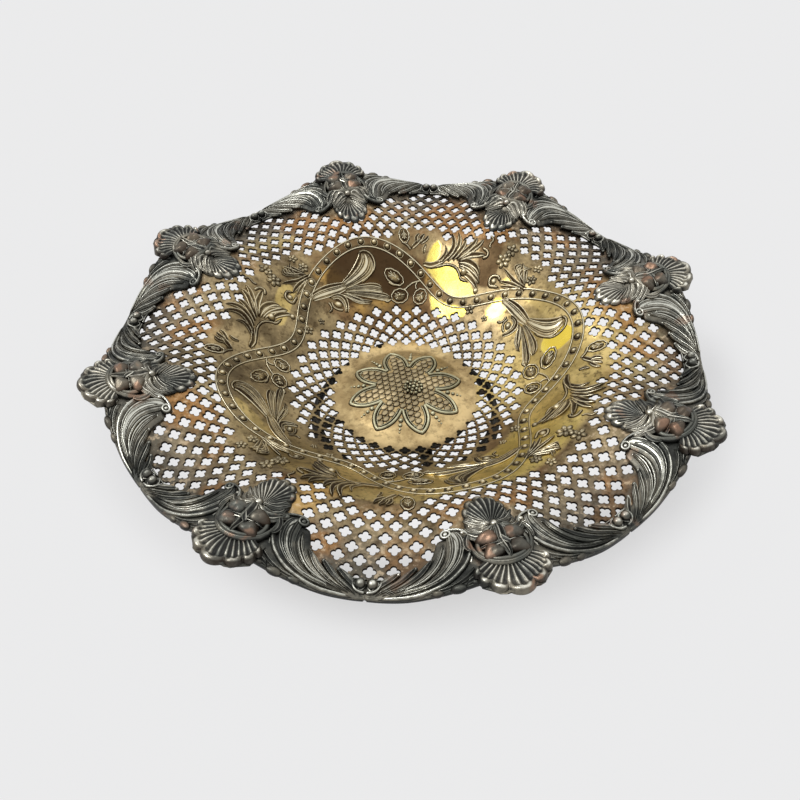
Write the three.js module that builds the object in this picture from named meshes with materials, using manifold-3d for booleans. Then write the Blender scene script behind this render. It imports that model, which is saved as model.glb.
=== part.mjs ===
// Pierced centrepiece bowl on a low open foot, in millimetres, +Z up, origin under the middle of the foot.
// A raised and pierced sheet with eight lobes carries eight cast border lengths and eight shell
// cartouches on its rim. It stands on a collar, four scroll brackets and a lower band.
import * as THREE from 'three';
import { mergeVertices } from 'three/addons/utils/BufferGeometryUtils.js';
import Module from 'manifold-3d';

const wasm = await Module();
wasm.setup();

// Driving dimensions of the bowl
const LOBES = 8;
const TIP_RADIUS = 184; // from the middle of the bowl to the outermost knob of a shell
const SHELL_OVERHANG = 15; // how far a shell stands out past the edge of the sheet
const DISC_RADIUS = 41; // of the solid middle of the bowl, inside the inner lattice
const DISC_EDGE = 2; // width of its flat edge
const DOME_RISE = 6; // of its domed middle over the flat edge
const SHEET = 1.4; // thickness of the sheet, measured along Z
const LOBE_DROP = 12.5; // how much lower a lobe's middle lies at the rim than the ridge beside it
const WALL_FOOT_RADIUS = 72; // where the flat slope of the inner lattice turns into the wall
const WALL_FOOT_RISE = 12;
const WALL_TOP_RADIUS = 112; // where the wall turns into the flange
const WALL_TOP_RISE = 42;
const SHOULDER_RADIUS = 128;
const SHOULDER_RISE = 49.4;
const EDGE_RISE = 54.8; // of the ridges at the edge of the sheet
const RIDGE_SHARPNESS = 1.2; // above 1 the ridges are narrower than the lobes

// Raised work on the sheet
const RELIEF = 0.6;
const RELIEF_SLOPE = 0.8; // width of the step beside raised work
const PETALS = 8;
const MEDALLION_RADIUS = 36.2; // to the tips of the petals
const PETAL_DEPTH = 18.2; // from the tips in to the notches between petals
const RIBBON_RADIUS = 95.5;
const RIBBON_SWING = 15.5;
const RIBBON_WAVES = 4;
const RIBBON_TURN = 3.2; // from a ridge on to the crest of the ribbon, in degrees
const RIBBON_WIDTH = 6.5;

// Foot
const FOOT_HEIGHT = 20; // from the table to the underside of the disc
const COLLAR_RADIUS = 42; // where the collar meets the sheet
const COLLAR_HEIGHT = 6.6;
const COLLAR_FLARE = 2; // how much wider the collar is at its lower edge
const COLLAR_SEAT = 4; // width of its flat top
const BAND_RADIUS = 61; // of the lower band at the table
const BAND_HEIGHT = 8.6;
const BAND_FLARE = 3.8; // how much wider the band is at the table than at its top
const BAND_SEAT = 4.5; // width of the flat face that the bowl rests on
const BAND_BEAD = 1.3; // radius of the bead round its lower edge
const FOOT_WALL = 2.2; // thickness of the collar and the band
const SOFT_EDGE = 0.4; // small rounding on the spun edges
const BRACKETS = 4;
const BRACKET_WIDTH = 10;
const BRACKET_THICKNESS = 2.6;
const BRACKET_LAP = 1.4; // how far a bracket's ends reach past the metal they are fixed to
const BRACKET_SAG = 0.6; // of the underside between band and collar
const BRACKET_CURL = 2; // radius of the curled outer end

// Cast border
const CASTING_GAP = 0.35; // between a casting and the metal under or beside it
const SADDLE = 1.7; // thickness of the border under a cartouche
const BORDER_OUTSET = 3.5; // of the border past the edge of the sheet at the lobe middles
const BORDER_WIDTH = 11; // at the lobe middles
const BORDER_HEIGHT = 3.6;
const SCROLL_REACH = 20; // how much further in the leaf scrolls reach than the plain border
const SCROLL_SWELL = 2.5; // how much further out it reaches behind the scrolls
const SCROLL_HEIGHT = 5.6;
const HUMP_START = 0.14; // share of a half wave that the border's rounded top leaves off at its edges
const JOINT_GAP = 0.4; // between two border lengths at a lobe middle
const JOINT_BEAD_RADIUS = 2.1;
const JOINT_BEAD_OFFSET = 2.6; // of a bead's middle from the joint
const CURL_BEAD_RADIUS = 2.4;
const CURL_BEAD_ANGLE = 9.6; // from the ridge to the curled tip of a leaf scroll, in degrees
const CURL_BEAD_INSET = 41.5; // from the shell's tip circle in to the curled tip

// Shell cartouche: half widths at distances in from the tip circle
const KNOB_REACH = 4.8; // of the largest knob past the middle of its ball
const FAN_TIP = 61;
const CARTOUCHE_OUTLINE = [
  [FAN_TIP, 2.2], [58, 5.4], [53.5, 9.4], [48, 10.4], [43, 7.8], [39, 8.6], [35, 11.4], [28, 12.3],
  [22, 12], [18, 13.2], [14, 17.4], [9.5, 17.4], [5, 12],
];
const FAN_SEAT_END = 37.5; // where the cartouche has stepped up from the sheet onto the border
const FAN_SEAT_STEP = 2; // width of that step
const CARTOUCHE_EDGE = 1.8; // thickness of its edges
const OVAL_MIDDLE = 28;
const OVAL_HALF_WIDTH = 9.6;
const OVAL_HALF_LENGTH = 7.6;
const OVAL_RIM = 2.6; // height of the raised oval frame
const OVAL_SOFTNESS = 0.3; // width of the frame, as a share of the oval
const RIBS = 7;
const RIB_HEIGHT = 1.1;
const BOSS_FLATNESS = 0.75;
// Round bosses: distance in from the tip circle, distance to each side of the ridge, radius, and
// how far the lowest point is over the seat
const BOSSES = [
  { inset: KNOB_REACH, side: 0, radius: KNOB_REACH, rise: -1.4 },
  { inset: 6.6, side: 8.2, radius: 3.9, rise: -1 },
  { inset: 11, side: 14.4, radius: 3.2, rise: 0.1 },
  { inset: 31, side: 0, radius: 3.1, rise: 1.2 },
  { inset: 25, side: 4.4, radius: 3.3, rise: 1.2 },
  { inset: 39.5, side: 0, radius: 2.7, rise: 0.3 },
];

// Fineness of the mesh
const ROUND_STEPS = 96; // twelve to a lobe, so that a row of vertices lies on every ridge and lobe middle
const BORDER_STEPS = 24;
const BORDER_BANDS = 2;
const CARTOUCHE_STEPS = 6;
const BALL_STEPS = 6;
const BALL_RINGS = 4;
const FOOT_STEPS = 48;
const SWEEP_STEPS = 3;
const UNDERSIDE_RINGS = 8;
const BRACKET_STEPS = 3;
const BRACKET_BANDS = 8;

const SHEET_RADIUS = TIP_RADIUS - SHELL_OVERHANG;
const DOME_RADIUS = DISC_RADIUS - DISC_EDGE;
const REPEAT = 2 * Math.PI / LOBES;
const DISC_TOP = FOOT_HEIGHT + SHEET;
const { degToRad, lerp, smoothstep } = THREE.MathUtils;

const MATERIALS = {
  gilt: { color: 0xb59a5c, roughness: 0.34, metalness: 1 },
  oxidised: { color: 0x5f625d, roughness: 0.42, metalness: 1 },
  shell: { color: 0x6d6a64, roughness: 0.38, metalness: 1 },
  foot: { color: 0x55564f, roughness: 0.45, metalness: 1 },
};

// Smooth curve through [position, value] pairs in rising order, without overshoot
function smoothCurve(points, x) {
  const last = points.length - 1;
  const slope = (i) => (points[i + 1][1] - points[i][1]) / (points[i + 1][0] - points[i][0]);
  const tangent = (i) => {
    if (i === 0) return 0;
    if (i === last) return slope(last - 1);
    const before = slope(i - 1);
    const after = slope(i);
    return before * after <= 0 ? 0 : 2 * before * after / (before + after);
  };
  if (x <= points[0][0]) return points[0][1];
  let i = 0;
  while (i < last - 1 && x > points[i + 1][0]) i += 1;
  const width = points[i + 1][0] - points[i][0];
  const t = (x - points[i][0]) / width;
  const hermite = [(1 + 2 * t) * (1 - t) ** 2, t * (1 - t) ** 2, t * t * (3 - 2 * t), t * t * (t - 1)];
  return hermite[0] * points[i][1] + hermite[1] * width * tangent(i)
    + hermite[2] * points[i + 1][1] + hermite[3] * width * tangent(i + 1);
}

const RIDGE_PROFILE = [
  [DISC_RADIUS, 0],
  [WALL_FOOT_RADIUS, WALL_FOOT_RISE],
  [WALL_TOP_RADIUS, WALL_TOP_RISE],
  [SHOULDER_RADIUS, SHOULDER_RISE],
  [SHEET_RADIUS, EDGE_RISE],
];
// Share of the lobe drop that is reached at each radius
const DROP_SHARE = [
  [DISC_RADIUS, 0],
  [WALL_FOOT_RADIUS, 0.08],
  [WALL_TOP_RADIUS, 0.36],
  [SHOULDER_RADIUS, 0.65],
  [SHEET_RADIUS, 1],
];

// Height of the sheet's upper face at a radius and an angle from a ridge
function sheetTop(radius, angle) {
  const ridge = ((1 + Math.cos(LOBES * angle)) / 2) ** RIDGE_SHARPNESS;
  const drop = LOBE_DROP * smoothCurve(DROP_SHARE, radius) * (1 - ridge);
  const dome = DOME_RISE * Math.max(0, 1 - (radius / DOME_RADIUS) ** 2);
  return DISC_TOP + dome + smoothCurve(RIDGE_PROFILE, radius) - drop;
}

// Merges the shared vertices of a geometry, so that it is one closed body
function welded(geometry) {
  const bare = geometry.clone();
  bare.deleteAttribute('normal');
  bare.deleteAttribute('uv');
  return mergeVertices(bare, 1e-4);
}

function toSolid(geometry) {
  const { index, attributes } = welded(geometry);
  return new wasm.Manifold(new wasm.Mesh({
    numProp: 3,
    vertProperties: new Float32Array(attributes.position.array),
    triVerts: new Uint32Array(index.array),
  }));
}

function fromSolid(solid) {
  const { vertProperties, triVerts } = solid.getMesh();
  const geometry = new THREE.BufferGeometry();
  geometry.setAttribute('position', new THREE.BufferAttribute(vertProperties, 3));
  geometry.setIndex(new THREE.BufferAttribute(triVerts, 1));
  return geometry;
}

// A boss: a ball flattened along Z
function boss(radius, x, y, z) {
  const ball = new THREE.SphereGeometry(radius, BALL_STEPS, BALL_RINGS).rotateX(Math.PI / 2);
  return toSolid(ball.scale(1, 1, BOSS_FLATNESS).translate(x, y, z));
}

function makeMesh(name, geometry, look) {
  const faceted = geometry.index ? geometry.toNonIndexed() : geometry;
  faceted.computeVertexNormals();
  const mesh = new THREE.Mesh(faceted, new THREE.MeshStandardMaterial(MATERIALS[look]));
  mesh.name = name;
  return mesh;
}

// A slab whose plan and two faces are given by functions of u and v from 0 to 1
function mappedSlab(steps, bands, place) {
  const geometry = new THREE.BoxGeometry(1, 1, 1, steps, bands, 1);
  const position = geometry.attributes.position;
  for (let i = 0; i < position.count; i += 1) {
    const u = position.getX(i) + 0.5;
    const v = position.getY(i) + 0.5;
    position.setXYZ(i, ...place(u, v, position.getZ(i) > 0));
  }
  return geometry;
}

// Pierced sheet: rings of vertices from the middle of the underside, round the rim, to the middle of
// the upper face. Each ring has its radius at every angle, and its height over the sheet's upper face.
function bowlBody() {
  const petal = (angle) => MEDALLION_RADIUS - PETAL_DEPTH * (1 - Math.abs(Math.cos(PETALS * angle / 2)));
  const turn = degToRad(RIBBON_TURN);
  const ribbon = (angle) => RIBBON_RADIUS + RIBBON_SWING * Math.cos(RIBBON_WAVES * (angle - turn));
  const half = RIBBON_WIDTH / 2;
  const round = (radius, lift = 0) => ({ radius: () => radius, lift });
  const between = (low, high, share) => ({ radius: (a) => lerp(low(a), high(a), share), lift: 0 });
  const ribbonInside = (angle) => ribbon(angle) - half;
  const ribbonOutside = (angle) => ribbon(angle) + half;
  const wallFoot = () => WALL_FOOT_RADIUS;
  const shoulder = () => SHOULDER_RADIUS;
  const upper = [
    round(0, RELIEF),
    { radius: (a) => petal(a) / 2, lift: RELIEF },
    { radius: (a) => petal(a) - RELIEF_SLOPE, lift: RELIEF },
    { radius: petal, lift: 0 },
    round(DOME_RADIUS),
    round(DISC_RADIUS),
    round((DISC_RADIUS + WALL_FOOT_RADIUS) / 2),
    between(wallFoot, ribbonInside, 0.15),
    between(wallFoot, ribbonInside, 0.55),
    { radius: (a) => ribbonInside(a) - RELIEF_SLOPE, lift: 0 },
    { radius: ribbonInside, lift: RELIEF },
    { radius: ribbonOutside, lift: RELIEF },
    { radius: (a) => ribbonOutside(a) + RELIEF_SLOPE, lift: 0 },
    between(ribbonOutside, shoulder, 0.5),
    round(SHOULDER_RADIUS),
    round((SHOULDER_RADIUS + SHEET_RADIUS) / 2),
    round(SHEET_RADIUS),
  ];
  const lower = [round(0, -SHEET), round(DOME_RADIUS / 2, -SHEET), round(DOME_RADIUS, -SHEET)];
  for (let k = 0; k <= UNDERSIDE_RINGS; k += 1) {
    lower.push(round(lerp(DISC_RADIUS, SHEET_RADIUS, k / UNDERSIDE_RINGS), -SHEET));
  }
  const stations = [...lower, ...upper.reverse()];
  // Nominal profile of the same stations, spaced so that no two vertices fall together
  const profile = stations.map((station, i) => {
    const onAxis = i === 0 || i === stations.length - 1;
    return new THREE.Vector2(onAxis ? 0 : stations.length + i, i);
  });
  const lathe = new THREE.LatheGeometry(profile, ROUND_STEPS).rotateX(Math.PI / 2);
  const position = lathe.attributes.position;
  for (let i = 0; i < position.count; i += 1) {
    const station = stations[i % stations.length];
    const step = Math.floor(i / stations.length) % ROUND_STEPS;
    const angle = step * 2 * Math.PI / ROUND_STEPS;
    const radius = station.radius(angle);
    const height = sheetTop(radius, angle) + station.lift;
    position.setXYZ(i, radius * Math.cos(angle), radius * Math.sin(angle), height);
  }
  return makeMesh('bowl_body', lathe, 'gilt');
}

// Place of a point of a cartouche on the ridge that runs along +X
function onRidge(inset, side, lift) {
  const x = TIP_RADIUS - inset;
  const radius = Math.hypot(x, side);
  return [x, side, sheetTop(radius, Math.atan2(side, x)) + lift];
}

// Under the fan a cartouche lies on the sheet, and further out on the saddle of the border
function cartoucheSeat(inset) {
  const step = smoothstep(-inset, -FAN_SEAT_END - FAN_SEAT_STEP, -FAN_SEAT_END);
  return CASTING_GAP + step * (SADDLE + CASTING_GAP);
}

// Height of a cartouche over its seat, at a share of the half width to one side
function cartoucheCrown(inset, halfWidth, share) {
  const side = share * halfWidth;
  const oval = Math.hypot(side / OVAL_HALF_WIDTH, (inset - OVAL_MIDDLE) / OVAL_HALF_LENGTH);
  const frame = OVAL_RIM * Math.exp(-(((oval - 1) / OVAL_SOFTNESS) ** 2));
  const ribs = oval > 1 ? RIB_HEIGHT * (1 + Math.cos(RIBS * Math.PI * share)) / 2 : 0;
  const dome = 1 - share ** 2;
  return CARTOUCHE_EDGE + frame + dome * (1 + ribs);
}

function shellCartouche(number) {
  const rows = CARTOUCHE_OUTLINE.length - 1;
  const slab = mappedSlab(CARTOUCHE_STEPS, rows, (u, v, top) => {
    const [inset, halfWidth] = CARTOUCHE_OUTLINE[Math.round(v * rows)];
    const share = 1 - 2 * u;
    const lift = cartoucheSeat(inset) + (top ? cartoucheCrown(inset, halfWidth, share) : 0);
    return onRidge(inset, share * halfWidth, lift);
  });
  let solid = toSolid(slab);
  for (const { inset, side, radius, rise } of BOSSES) {
    for (const across of side === 0 ? [0] : [-side, side]) {
      const [x, y, z] = onRidge(inset, across, cartoucheSeat(inset) + radius * BOSS_FLATNESS + rise);
      solid = solid.add(boss(radius, x, y, z));
    }
  }
  const mesh = makeMesh(`shell_cartouche_${number}`, fromSolid(solid), 'shell');
  mesh.rotation.z = (number - 1) * REPEAT;
  return mesh;
}

// Outlines of the border by the angle from the ridge in degrees: how much of the scrolls' reach is
// used on the inside, how much of their swell on the outside, and the height of the border's crest
const lobeMiddle = 180 / LOBES;
const borderOuterRadius = SHEET_RADIUS + BORDER_OUTSET;
const borderInnerRadius = borderOuterRadius - BORDER_WIDTH;
const SCROLL_INSIDE = [
  [0, 0.6], [4, 0.6], [6, 0.9], [8, 1], [10.4, 0.95], [12, 0.5], [14.5, 0.2], [18, 0], [lobeMiddle, 0],
];
const SCROLL_OUTSIDE = [[0, -0.6], [5, 0], [8, 1], [12, 0.6], [16, 0], [lobeMiddle, -0.4]];
const BORDER_CREST = [
  [0, SADDLE], [5, SCROLL_HEIGHT], [11, SCROLL_HEIGHT], [16, BORDER_HEIGHT], [lobeMiddle, BORDER_HEIGHT],
];

// The space a cartouche takes over the border, with the gap round it
function cartouchePocket() {
  const rows = CARTOUCHE_OUTLINE.length - 1;
  const height = SCROLL_HEIGHT * 4;
  return toSolid(mappedSlab(CARTOUCHE_STEPS, rows, (u, v, top) => {
    const row = Math.round(v * rows);
    const [inset, halfWidth] = CARTOUCHE_OUTLINE[row];
    const lengthened = inset + (row === 0 ? CASTING_GAP : 0) - (row === rows ? SHELL_OVERHANG : 0);
    const floor = cartoucheSeat(inset) - CASTING_GAP;
    return onRidge(lengthened, (1 - 2 * u) * (halfWidth + CASTING_GAP), floor + (top ? height : 0));
  }));
}

// One border length, from one lobe middle to the next across a ridge
function rimBorder(number, pocket) {
  const cast = mappedSlab(BORDER_STEPS, BORDER_BANDS, (u, v, top) => {
    const jointTrim = JOINT_GAP / 2 / SHEET_RADIUS;
    const share = 2 * u - 1;
    const angle = share * (REPEAT / 2 - jointTrim);
    const turned = Math.abs(share) * lobeMiddle;
    const inner = borderInnerRadius - SCROLL_REACH * smoothCurve(SCROLL_INSIDE, turned);
    const outer = borderOuterRadius + SCROLL_SWELL * smoothCurve(SCROLL_OUTSIDE, turned);
    const radius = lerp(outer, inner, v);
    const hump = Math.sin(Math.PI * lerp(HUMP_START, 1 - HUMP_START, v));
    const crown = smoothCurve(BORDER_CREST, turned) * hump;
    const lift = CASTING_GAP + (top ? Math.max(crown, SADDLE) : 0);
    return [radius * Math.cos(angle), radius * Math.sin(angle), sheetTop(radius, angle) + lift];
  });
  let solid = toSolid(cast);
  const addBead = (radius, distance, angle, lift) => {
    const x = distance * Math.cos(angle);
    const y = distance * Math.sin(angle);
    solid = solid.add(boss(radius, x, y, sheetTop(distance, angle) + CASTING_GAP + lift));
  };
  for (const side of [-1, 1]) {
    const jointRadius = (borderInnerRadius + borderOuterRadius) / 2;
    const jointAngle = REPEAT / 2 - JOINT_BEAD_OFFSET / jointRadius;
    addBead(JOINT_BEAD_RADIUS, jointRadius, side * jointAngle, BORDER_HEIGHT);
    const curlLift = SCROLL_HEIGHT * Math.sin(Math.PI * HUMP_START);
    addBead(CURL_BEAD_RADIUS, TIP_RADIUS - CURL_BEAD_INSET, side * degToRad(CURL_BEAD_ANGLE), curlLift);
  }
  const mesh = makeMesh(`rim_border_${number}`, fromSolid(solid.subtract(pocket)), 'oxidised');
  mesh.rotation.z = (number - 1) * REPEAT;
  return mesh;
}

// Spun ring of the foot from its section: down the inside, across the bottom and up the outside
function spunRing(name, section) {
  const lathe = new THREE.LatheGeometry([...section, section[0].clone()], FOOT_STEPS).rotateX(Math.PI / 2);
  return makeMesh(name, welded(lathe), 'foot');
}

// Hollow curve from an upper edge to a wider lower edge
function flare(topRadius, topHeight, lowRadius, lowHeight) {
  const top = new THREE.Vector2(topRadius, topHeight);
  const low = new THREE.Vector2(lowRadius, lowHeight);
  const bend = new THREE.Vector2(topRadius, (topHeight + lowHeight) / 2);
  return new THREE.QuadraticBezierCurve(top, bend, low).getPoints(SWEEP_STEPS);
}

// Collar under the edge of the disc
const collarFoot = FOOT_HEIGHT - COLLAR_HEIGHT;
const collarLip = COLLAR_RADIUS + COLLAR_FLARE;

function footCollar() {
  const seatRadius = COLLAR_RADIUS - COLLAR_SEAT;
  return spunRing('foot_collar', [
    new THREE.Vector2(seatRadius, FOOT_HEIGHT),
    new THREE.Vector2(seatRadius, FOOT_HEIGHT - FOOT_WALL / 2),
    ...flare(COLLAR_RADIUS - FOOT_WALL, FOOT_HEIGHT - FOOT_WALL, collarLip - FOOT_WALL, collarFoot),
    ...flare(COLLAR_RADIUS, FOOT_HEIGHT - SOFT_EDGE, collarLip, collarFoot).reverse(),
    new THREE.Vector2(COLLAR_RADIUS - SOFT_EDGE, FOOT_HEIGHT),
  ]);
}

// Lower band with a bead round its edge and the flat face that the bowl rests on
const bandTopRadius = BAND_RADIUS - BAND_FLARE;

function footBand() {
  const beadMiddle = BAND_RADIUS - BAND_BEAD;
  const bead = new THREE.EllipseCurve(
    beadMiddle, BAND_BEAD, BAND_BEAD, BAND_BEAD, -Math.PI / 2, Math.PI / 3,
  ).getPoints(4);
  return spunRing('foot_band', [
    ...flare(bandTopRadius - FOOT_WALL, BAND_HEIGHT, BAND_RADIUS - BAND_SEAT, 0),
    ...bead,
    ...flare(bandTopRadius, BAND_HEIGHT - SOFT_EDGE, beadMiddle, 2 * BAND_BEAD).reverse(),
    new THREE.Vector2(bandTopRadius - SOFT_EDGE, BAND_HEIGHT),
  ]);
}

// Scroll bracket from the top of the band to the underside of the collar
function footBracket(number) {
  const outer = bandTopRadius + BRACKET_LAP;
  const inner = collarLip - FOOT_WALL - BRACKET_LAP;
  const bandSeat = BAND_HEIGHT + CASTING_GAP;
  const collarSeat = collarFoot - CASTING_GAP - BRACKET_THICKNESS;
  const underside = [
    [inner, collarSeat],
    [collarLip, collarSeat],
    [(collarLip + bandTopRadius) / 2, bandSeat - BRACKET_SAG],
    [bandTopRadius - FOOT_WALL, bandSeat],
    [outer, bandSeat],
  ];
  const slab = mappedSlab(BRACKET_STEPS, BRACKET_BANDS, (u, v, top) => {
    const radius = lerp(outer, inner, v);
    const side = (u - 0.5) * BRACKET_WIDTH;
    return [radius, side, smoothCurve(underside, radius) + (top ? BRACKET_THICKNESS : 0)];
  });
  const curl = boss(BRACKET_CURL, outer - BRACKET_CURL, 0, bandSeat + BRACKET_THICKNESS);
  const mesh = makeMesh(`foot_bracket_${number}`, fromSolid(toSolid(slab).add(curl)), 'foot');
  mesh.rotation.z = (number - 1) * 2 * Math.PI / BRACKETS;
  return mesh;
}

const bowl = new THREE.Group();
const pocket = cartouchePocket();
bowl.add(bowlBody(), footCollar(), footBand());
for (let number = 1; number <= BRACKETS; number += 1) {
  bowl.add(footBracket(number));
}
for (let number = 1; number <= LOBES; number += 1) {
  bowl.add(rimBorder(number, pocket), shellCartouche(number));
}

export default bowl;
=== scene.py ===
"""Looks of the pierced centrepiece bowl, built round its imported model. Metres, +Z up."""
import math

import bpy
import numpy as np
from mathutils import Matrix, Vector


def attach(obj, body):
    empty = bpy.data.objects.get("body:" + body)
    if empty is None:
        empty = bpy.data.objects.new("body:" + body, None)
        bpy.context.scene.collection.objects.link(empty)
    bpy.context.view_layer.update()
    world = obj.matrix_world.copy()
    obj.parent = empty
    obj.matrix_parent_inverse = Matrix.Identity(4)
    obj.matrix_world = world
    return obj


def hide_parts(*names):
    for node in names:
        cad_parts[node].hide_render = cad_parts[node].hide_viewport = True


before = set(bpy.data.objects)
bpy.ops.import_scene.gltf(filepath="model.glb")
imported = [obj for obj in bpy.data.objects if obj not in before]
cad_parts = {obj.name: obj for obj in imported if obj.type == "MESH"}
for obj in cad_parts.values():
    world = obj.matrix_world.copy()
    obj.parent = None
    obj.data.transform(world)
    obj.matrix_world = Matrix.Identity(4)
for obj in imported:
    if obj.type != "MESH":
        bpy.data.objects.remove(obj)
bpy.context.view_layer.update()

# Driving dimensions of the bowl in millimetres, the same as in the part's source
LOBES = 8
TIP_RADIUS = 184
SHEET_RADIUS = 169
DISC_RADIUS = 41
DOME_RADIUS = 39
DOME_RISE = 6
SHEET = 1.4
LOBE_DROP = 12.5
RIDGE_SHARPNESS = 1.2
FOOT_HEIGHT = 20
DISC_TOP = FOOT_HEIGHT + SHEET
RIDGE_PROFILE = [(41, 0), (72, 12), (112, 42), (128, 49.4), (169, 54.8)]
DROP_SHARE = [(41, 0), (72, 0.08), (112, 0.36), (128, 0.65), (169, 1)]
MM = 0.001


# Curves, angles and plan points

def smooth_curve(points, x):
    """Smooth curve through (position, value) pairs in rising order, without overshoot."""
    xs, ys = np.array(points, float).T
    slopes = np.diff(ys) / np.diff(xs)
    before, after = slopes[:-1], slopes[1:]
    same_way = before * after > 0
    mean = 2 * before * after / np.where(same_way, before + after, 1)
    tangents = np.concatenate([[0], np.where(same_way, mean, 0), slopes[-1:]])
    x = np.asarray(x, float)
    i = np.clip(np.searchsorted(xs, x) - 1, 0, len(xs) - 2)
    width = xs[i + 1] - xs[i]
    t = (x - xs[i]) / width
    value = (1 + 2 * t) * (1 - t) ** 2 * ys[i] + t * (1 - t) ** 2 * width * tangents[i]
    value = value + t * t * (3 - 2 * t) * ys[i + 1] + t * t * (t - 1) * width * tangents[i + 1]
    return np.where(x <= xs[0], ys[0], value)


def along(controls, count):
    """Smooth run of points, or of numbers, through the controls."""
    c = np.asarray(controls, float)
    if len(c) == 1:
        c = np.repeat(c, 2, axis=0)
    flat = c.ndim == 1
    c = c[:, None] if flat else c
    ends = np.concatenate([2 * c[:1] - c[1:2], c, 2 * c[-1:] - c[-2:-1]])
    u = np.linspace(0, len(c) - 1, count)
    i = np.minimum(u.astype(int), len(c) - 2)
    t = (u - i)[:, None]
    p0, p1, p2, p3 = (ends[i + k] for k in range(4))
    run = 2 * p1 + (p2 - p0) * t + (2 * p0 - 5 * p1 + 4 * p2 - p3) * t**2
    run = (run + (3 * p1 - p0 - 3 * p2 + p3) * t**3) / 2
    return run[:, 0] if flat else run


def ramp(x, start, length):
    """0 up to start, 1 from a length beyond it."""
    return np.clip((x - start) / length, 0, 1)


def lerp(a, b, t):
    return a + (b - a) * t


def turns(count):
    """Angles of even steps round a circle."""
    return 2 * np.pi * np.arange(count) / count


def on_circle(angle, radius):
    return np.stack([radius * np.cos(angle), radius * np.sin(angle)], -1)


def polar(*pairs):
    """Plan points from pairs of degrees from the ridge and radius."""
    degrees, radius = np.array(pairs, float).T
    return on_circle(np.radians(degrees), radius)


def radius_angle(plan):
    return np.hypot(plan[..., 0], plan[..., 1]), np.arctan2(plan[..., 1], plan[..., 0])


def set_at(x, y, a, b, turn):
    """Plan points that lie a along and b across a direction in radians, from (x, y)."""
    c, s = math.cos(turn), math.sin(turn)
    return np.stack([x + a * c - b * s, y + a * s + b * c], -1)


def sideways(run):
    """Unit vectors square to a run of plan points, to its left."""
    step = np.gradient(run, axis=0)
    step = step / np.maximum(np.linalg.norm(step, axis=1, keepdims=True), 1e-9)
    return np.stack([-step[:, 1], step[:, 0]], 1)


def raised(plan, height):
    """Points at a height over plan points."""
    return np.concatenate([plan, height[..., None]], -1)


def sheet_top(radius, angle):
    """Height of the sheet's upper face at a radius and an angle from a ridge, in radians."""
    ridge = ((1 + np.cos(LOBES * angle)) / 2) ** RIDGE_SHARPNESS
    drop = LOBE_DROP * smooth_curve(DROP_SHARE, radius) * (1 - ridge)
    dome = DOME_RISE * np.maximum(0, 1 - (radius / DOME_RADIUS) ** 2)
    return DISC_TOP + dome + smooth_curve(RIDGE_PROFILE, radius) - drop


def top_at(plan):
    """Height of the sheet's upper face at plan points."""
    return sheet_top(*radius_angle(plan))


# Patches of surface, and the pieces made of them

class Patch:
    """Points in millimetres and four-cornered faces. Each point has its wear_and_sheen mark, which is
    wear on raised work and polish with painted light on the sheet, its stain, and its place from 0 to
    1 across the stroke it belongs to."""

    def __init__(self, points, faces, wear_and_sheen, stain=0.0, across=0.0):
        self.points = np.asarray(points, float).reshape(-1, 3)
        self.faces = np.asarray(faces, int).reshape(-1, 4)
        marks = [np.asarray(m, float).ravel() for m in (wear_and_sheen, stain, across)]
        self.marks = np.stack([np.broadcast_to(m, len(self.points)) for m in marks])

    def turned(self, degrees):
        c, s = math.cos(math.radians(degrees)), math.sin(math.radians(degrees))
        turn = np.array([[c, -s, 0], [s, c, 0], [0, 0, 1]])
        return Patch(self.points @ turn.T, self.faces, *self.marks)

    def mirrored(self):
        """The same patch on the other side of the line along +X."""
        return Patch(self.points * [1, -1, 1], self.faces[:, ::-1], *self.marks)

    def rubbed_and_glints(self, share):
        """The same patch with more or less wear."""
        return Patch(self.points, self.faces, self.marks[0] * share, *self.marks[1:])


def joined(patches):
    starts = np.cumsum([0] + [len(p.points) for p in patches[:-1]])
    return Patch(
        np.concatenate([p.points for p in patches]),
        np.concatenate([p.faces + start for p, start in zip(patches, starts)]),
        *np.concatenate([p.marks for p in patches], axis=1),
    )


def around(patch, count):
    return joined([patch.turned(360 * k / count) for k in range(count)])


def both_sides(patches):
    return joined(list(patches) + [p.mirrored() for p in patches])


def grid_faces(rows, columns, closed=False):
    """Faces of a grid of points, counted row by row; closed joins the last column to the first."""
    row, column = np.meshgrid(np.arange(rows - 1), np.arange(columns - (not closed)), indexing="ij")
    after = (column + 1) % columns
    corners = [row * columns + column, row * columns + after]
    corners += [(row + 1) * columns + after, (row + 1) * columns + column]
    return np.stack(corners, -1).reshape(-1, 4)


def tube(points, *marks, flip=False):
    """A patch through rows of points, each row closed on itself; flip turns its faces about."""
    faces = grid_faces(*points.shape[:2], closed=True)
    return Patch(points, faces[:, ::-1] if flip else faces, *marks)


def slab(upper, under):
    """Rows of points round a section, from rows of its upper and its under side."""
    return np.concatenate([upper, under[:, ::-1]], 1)


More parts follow.
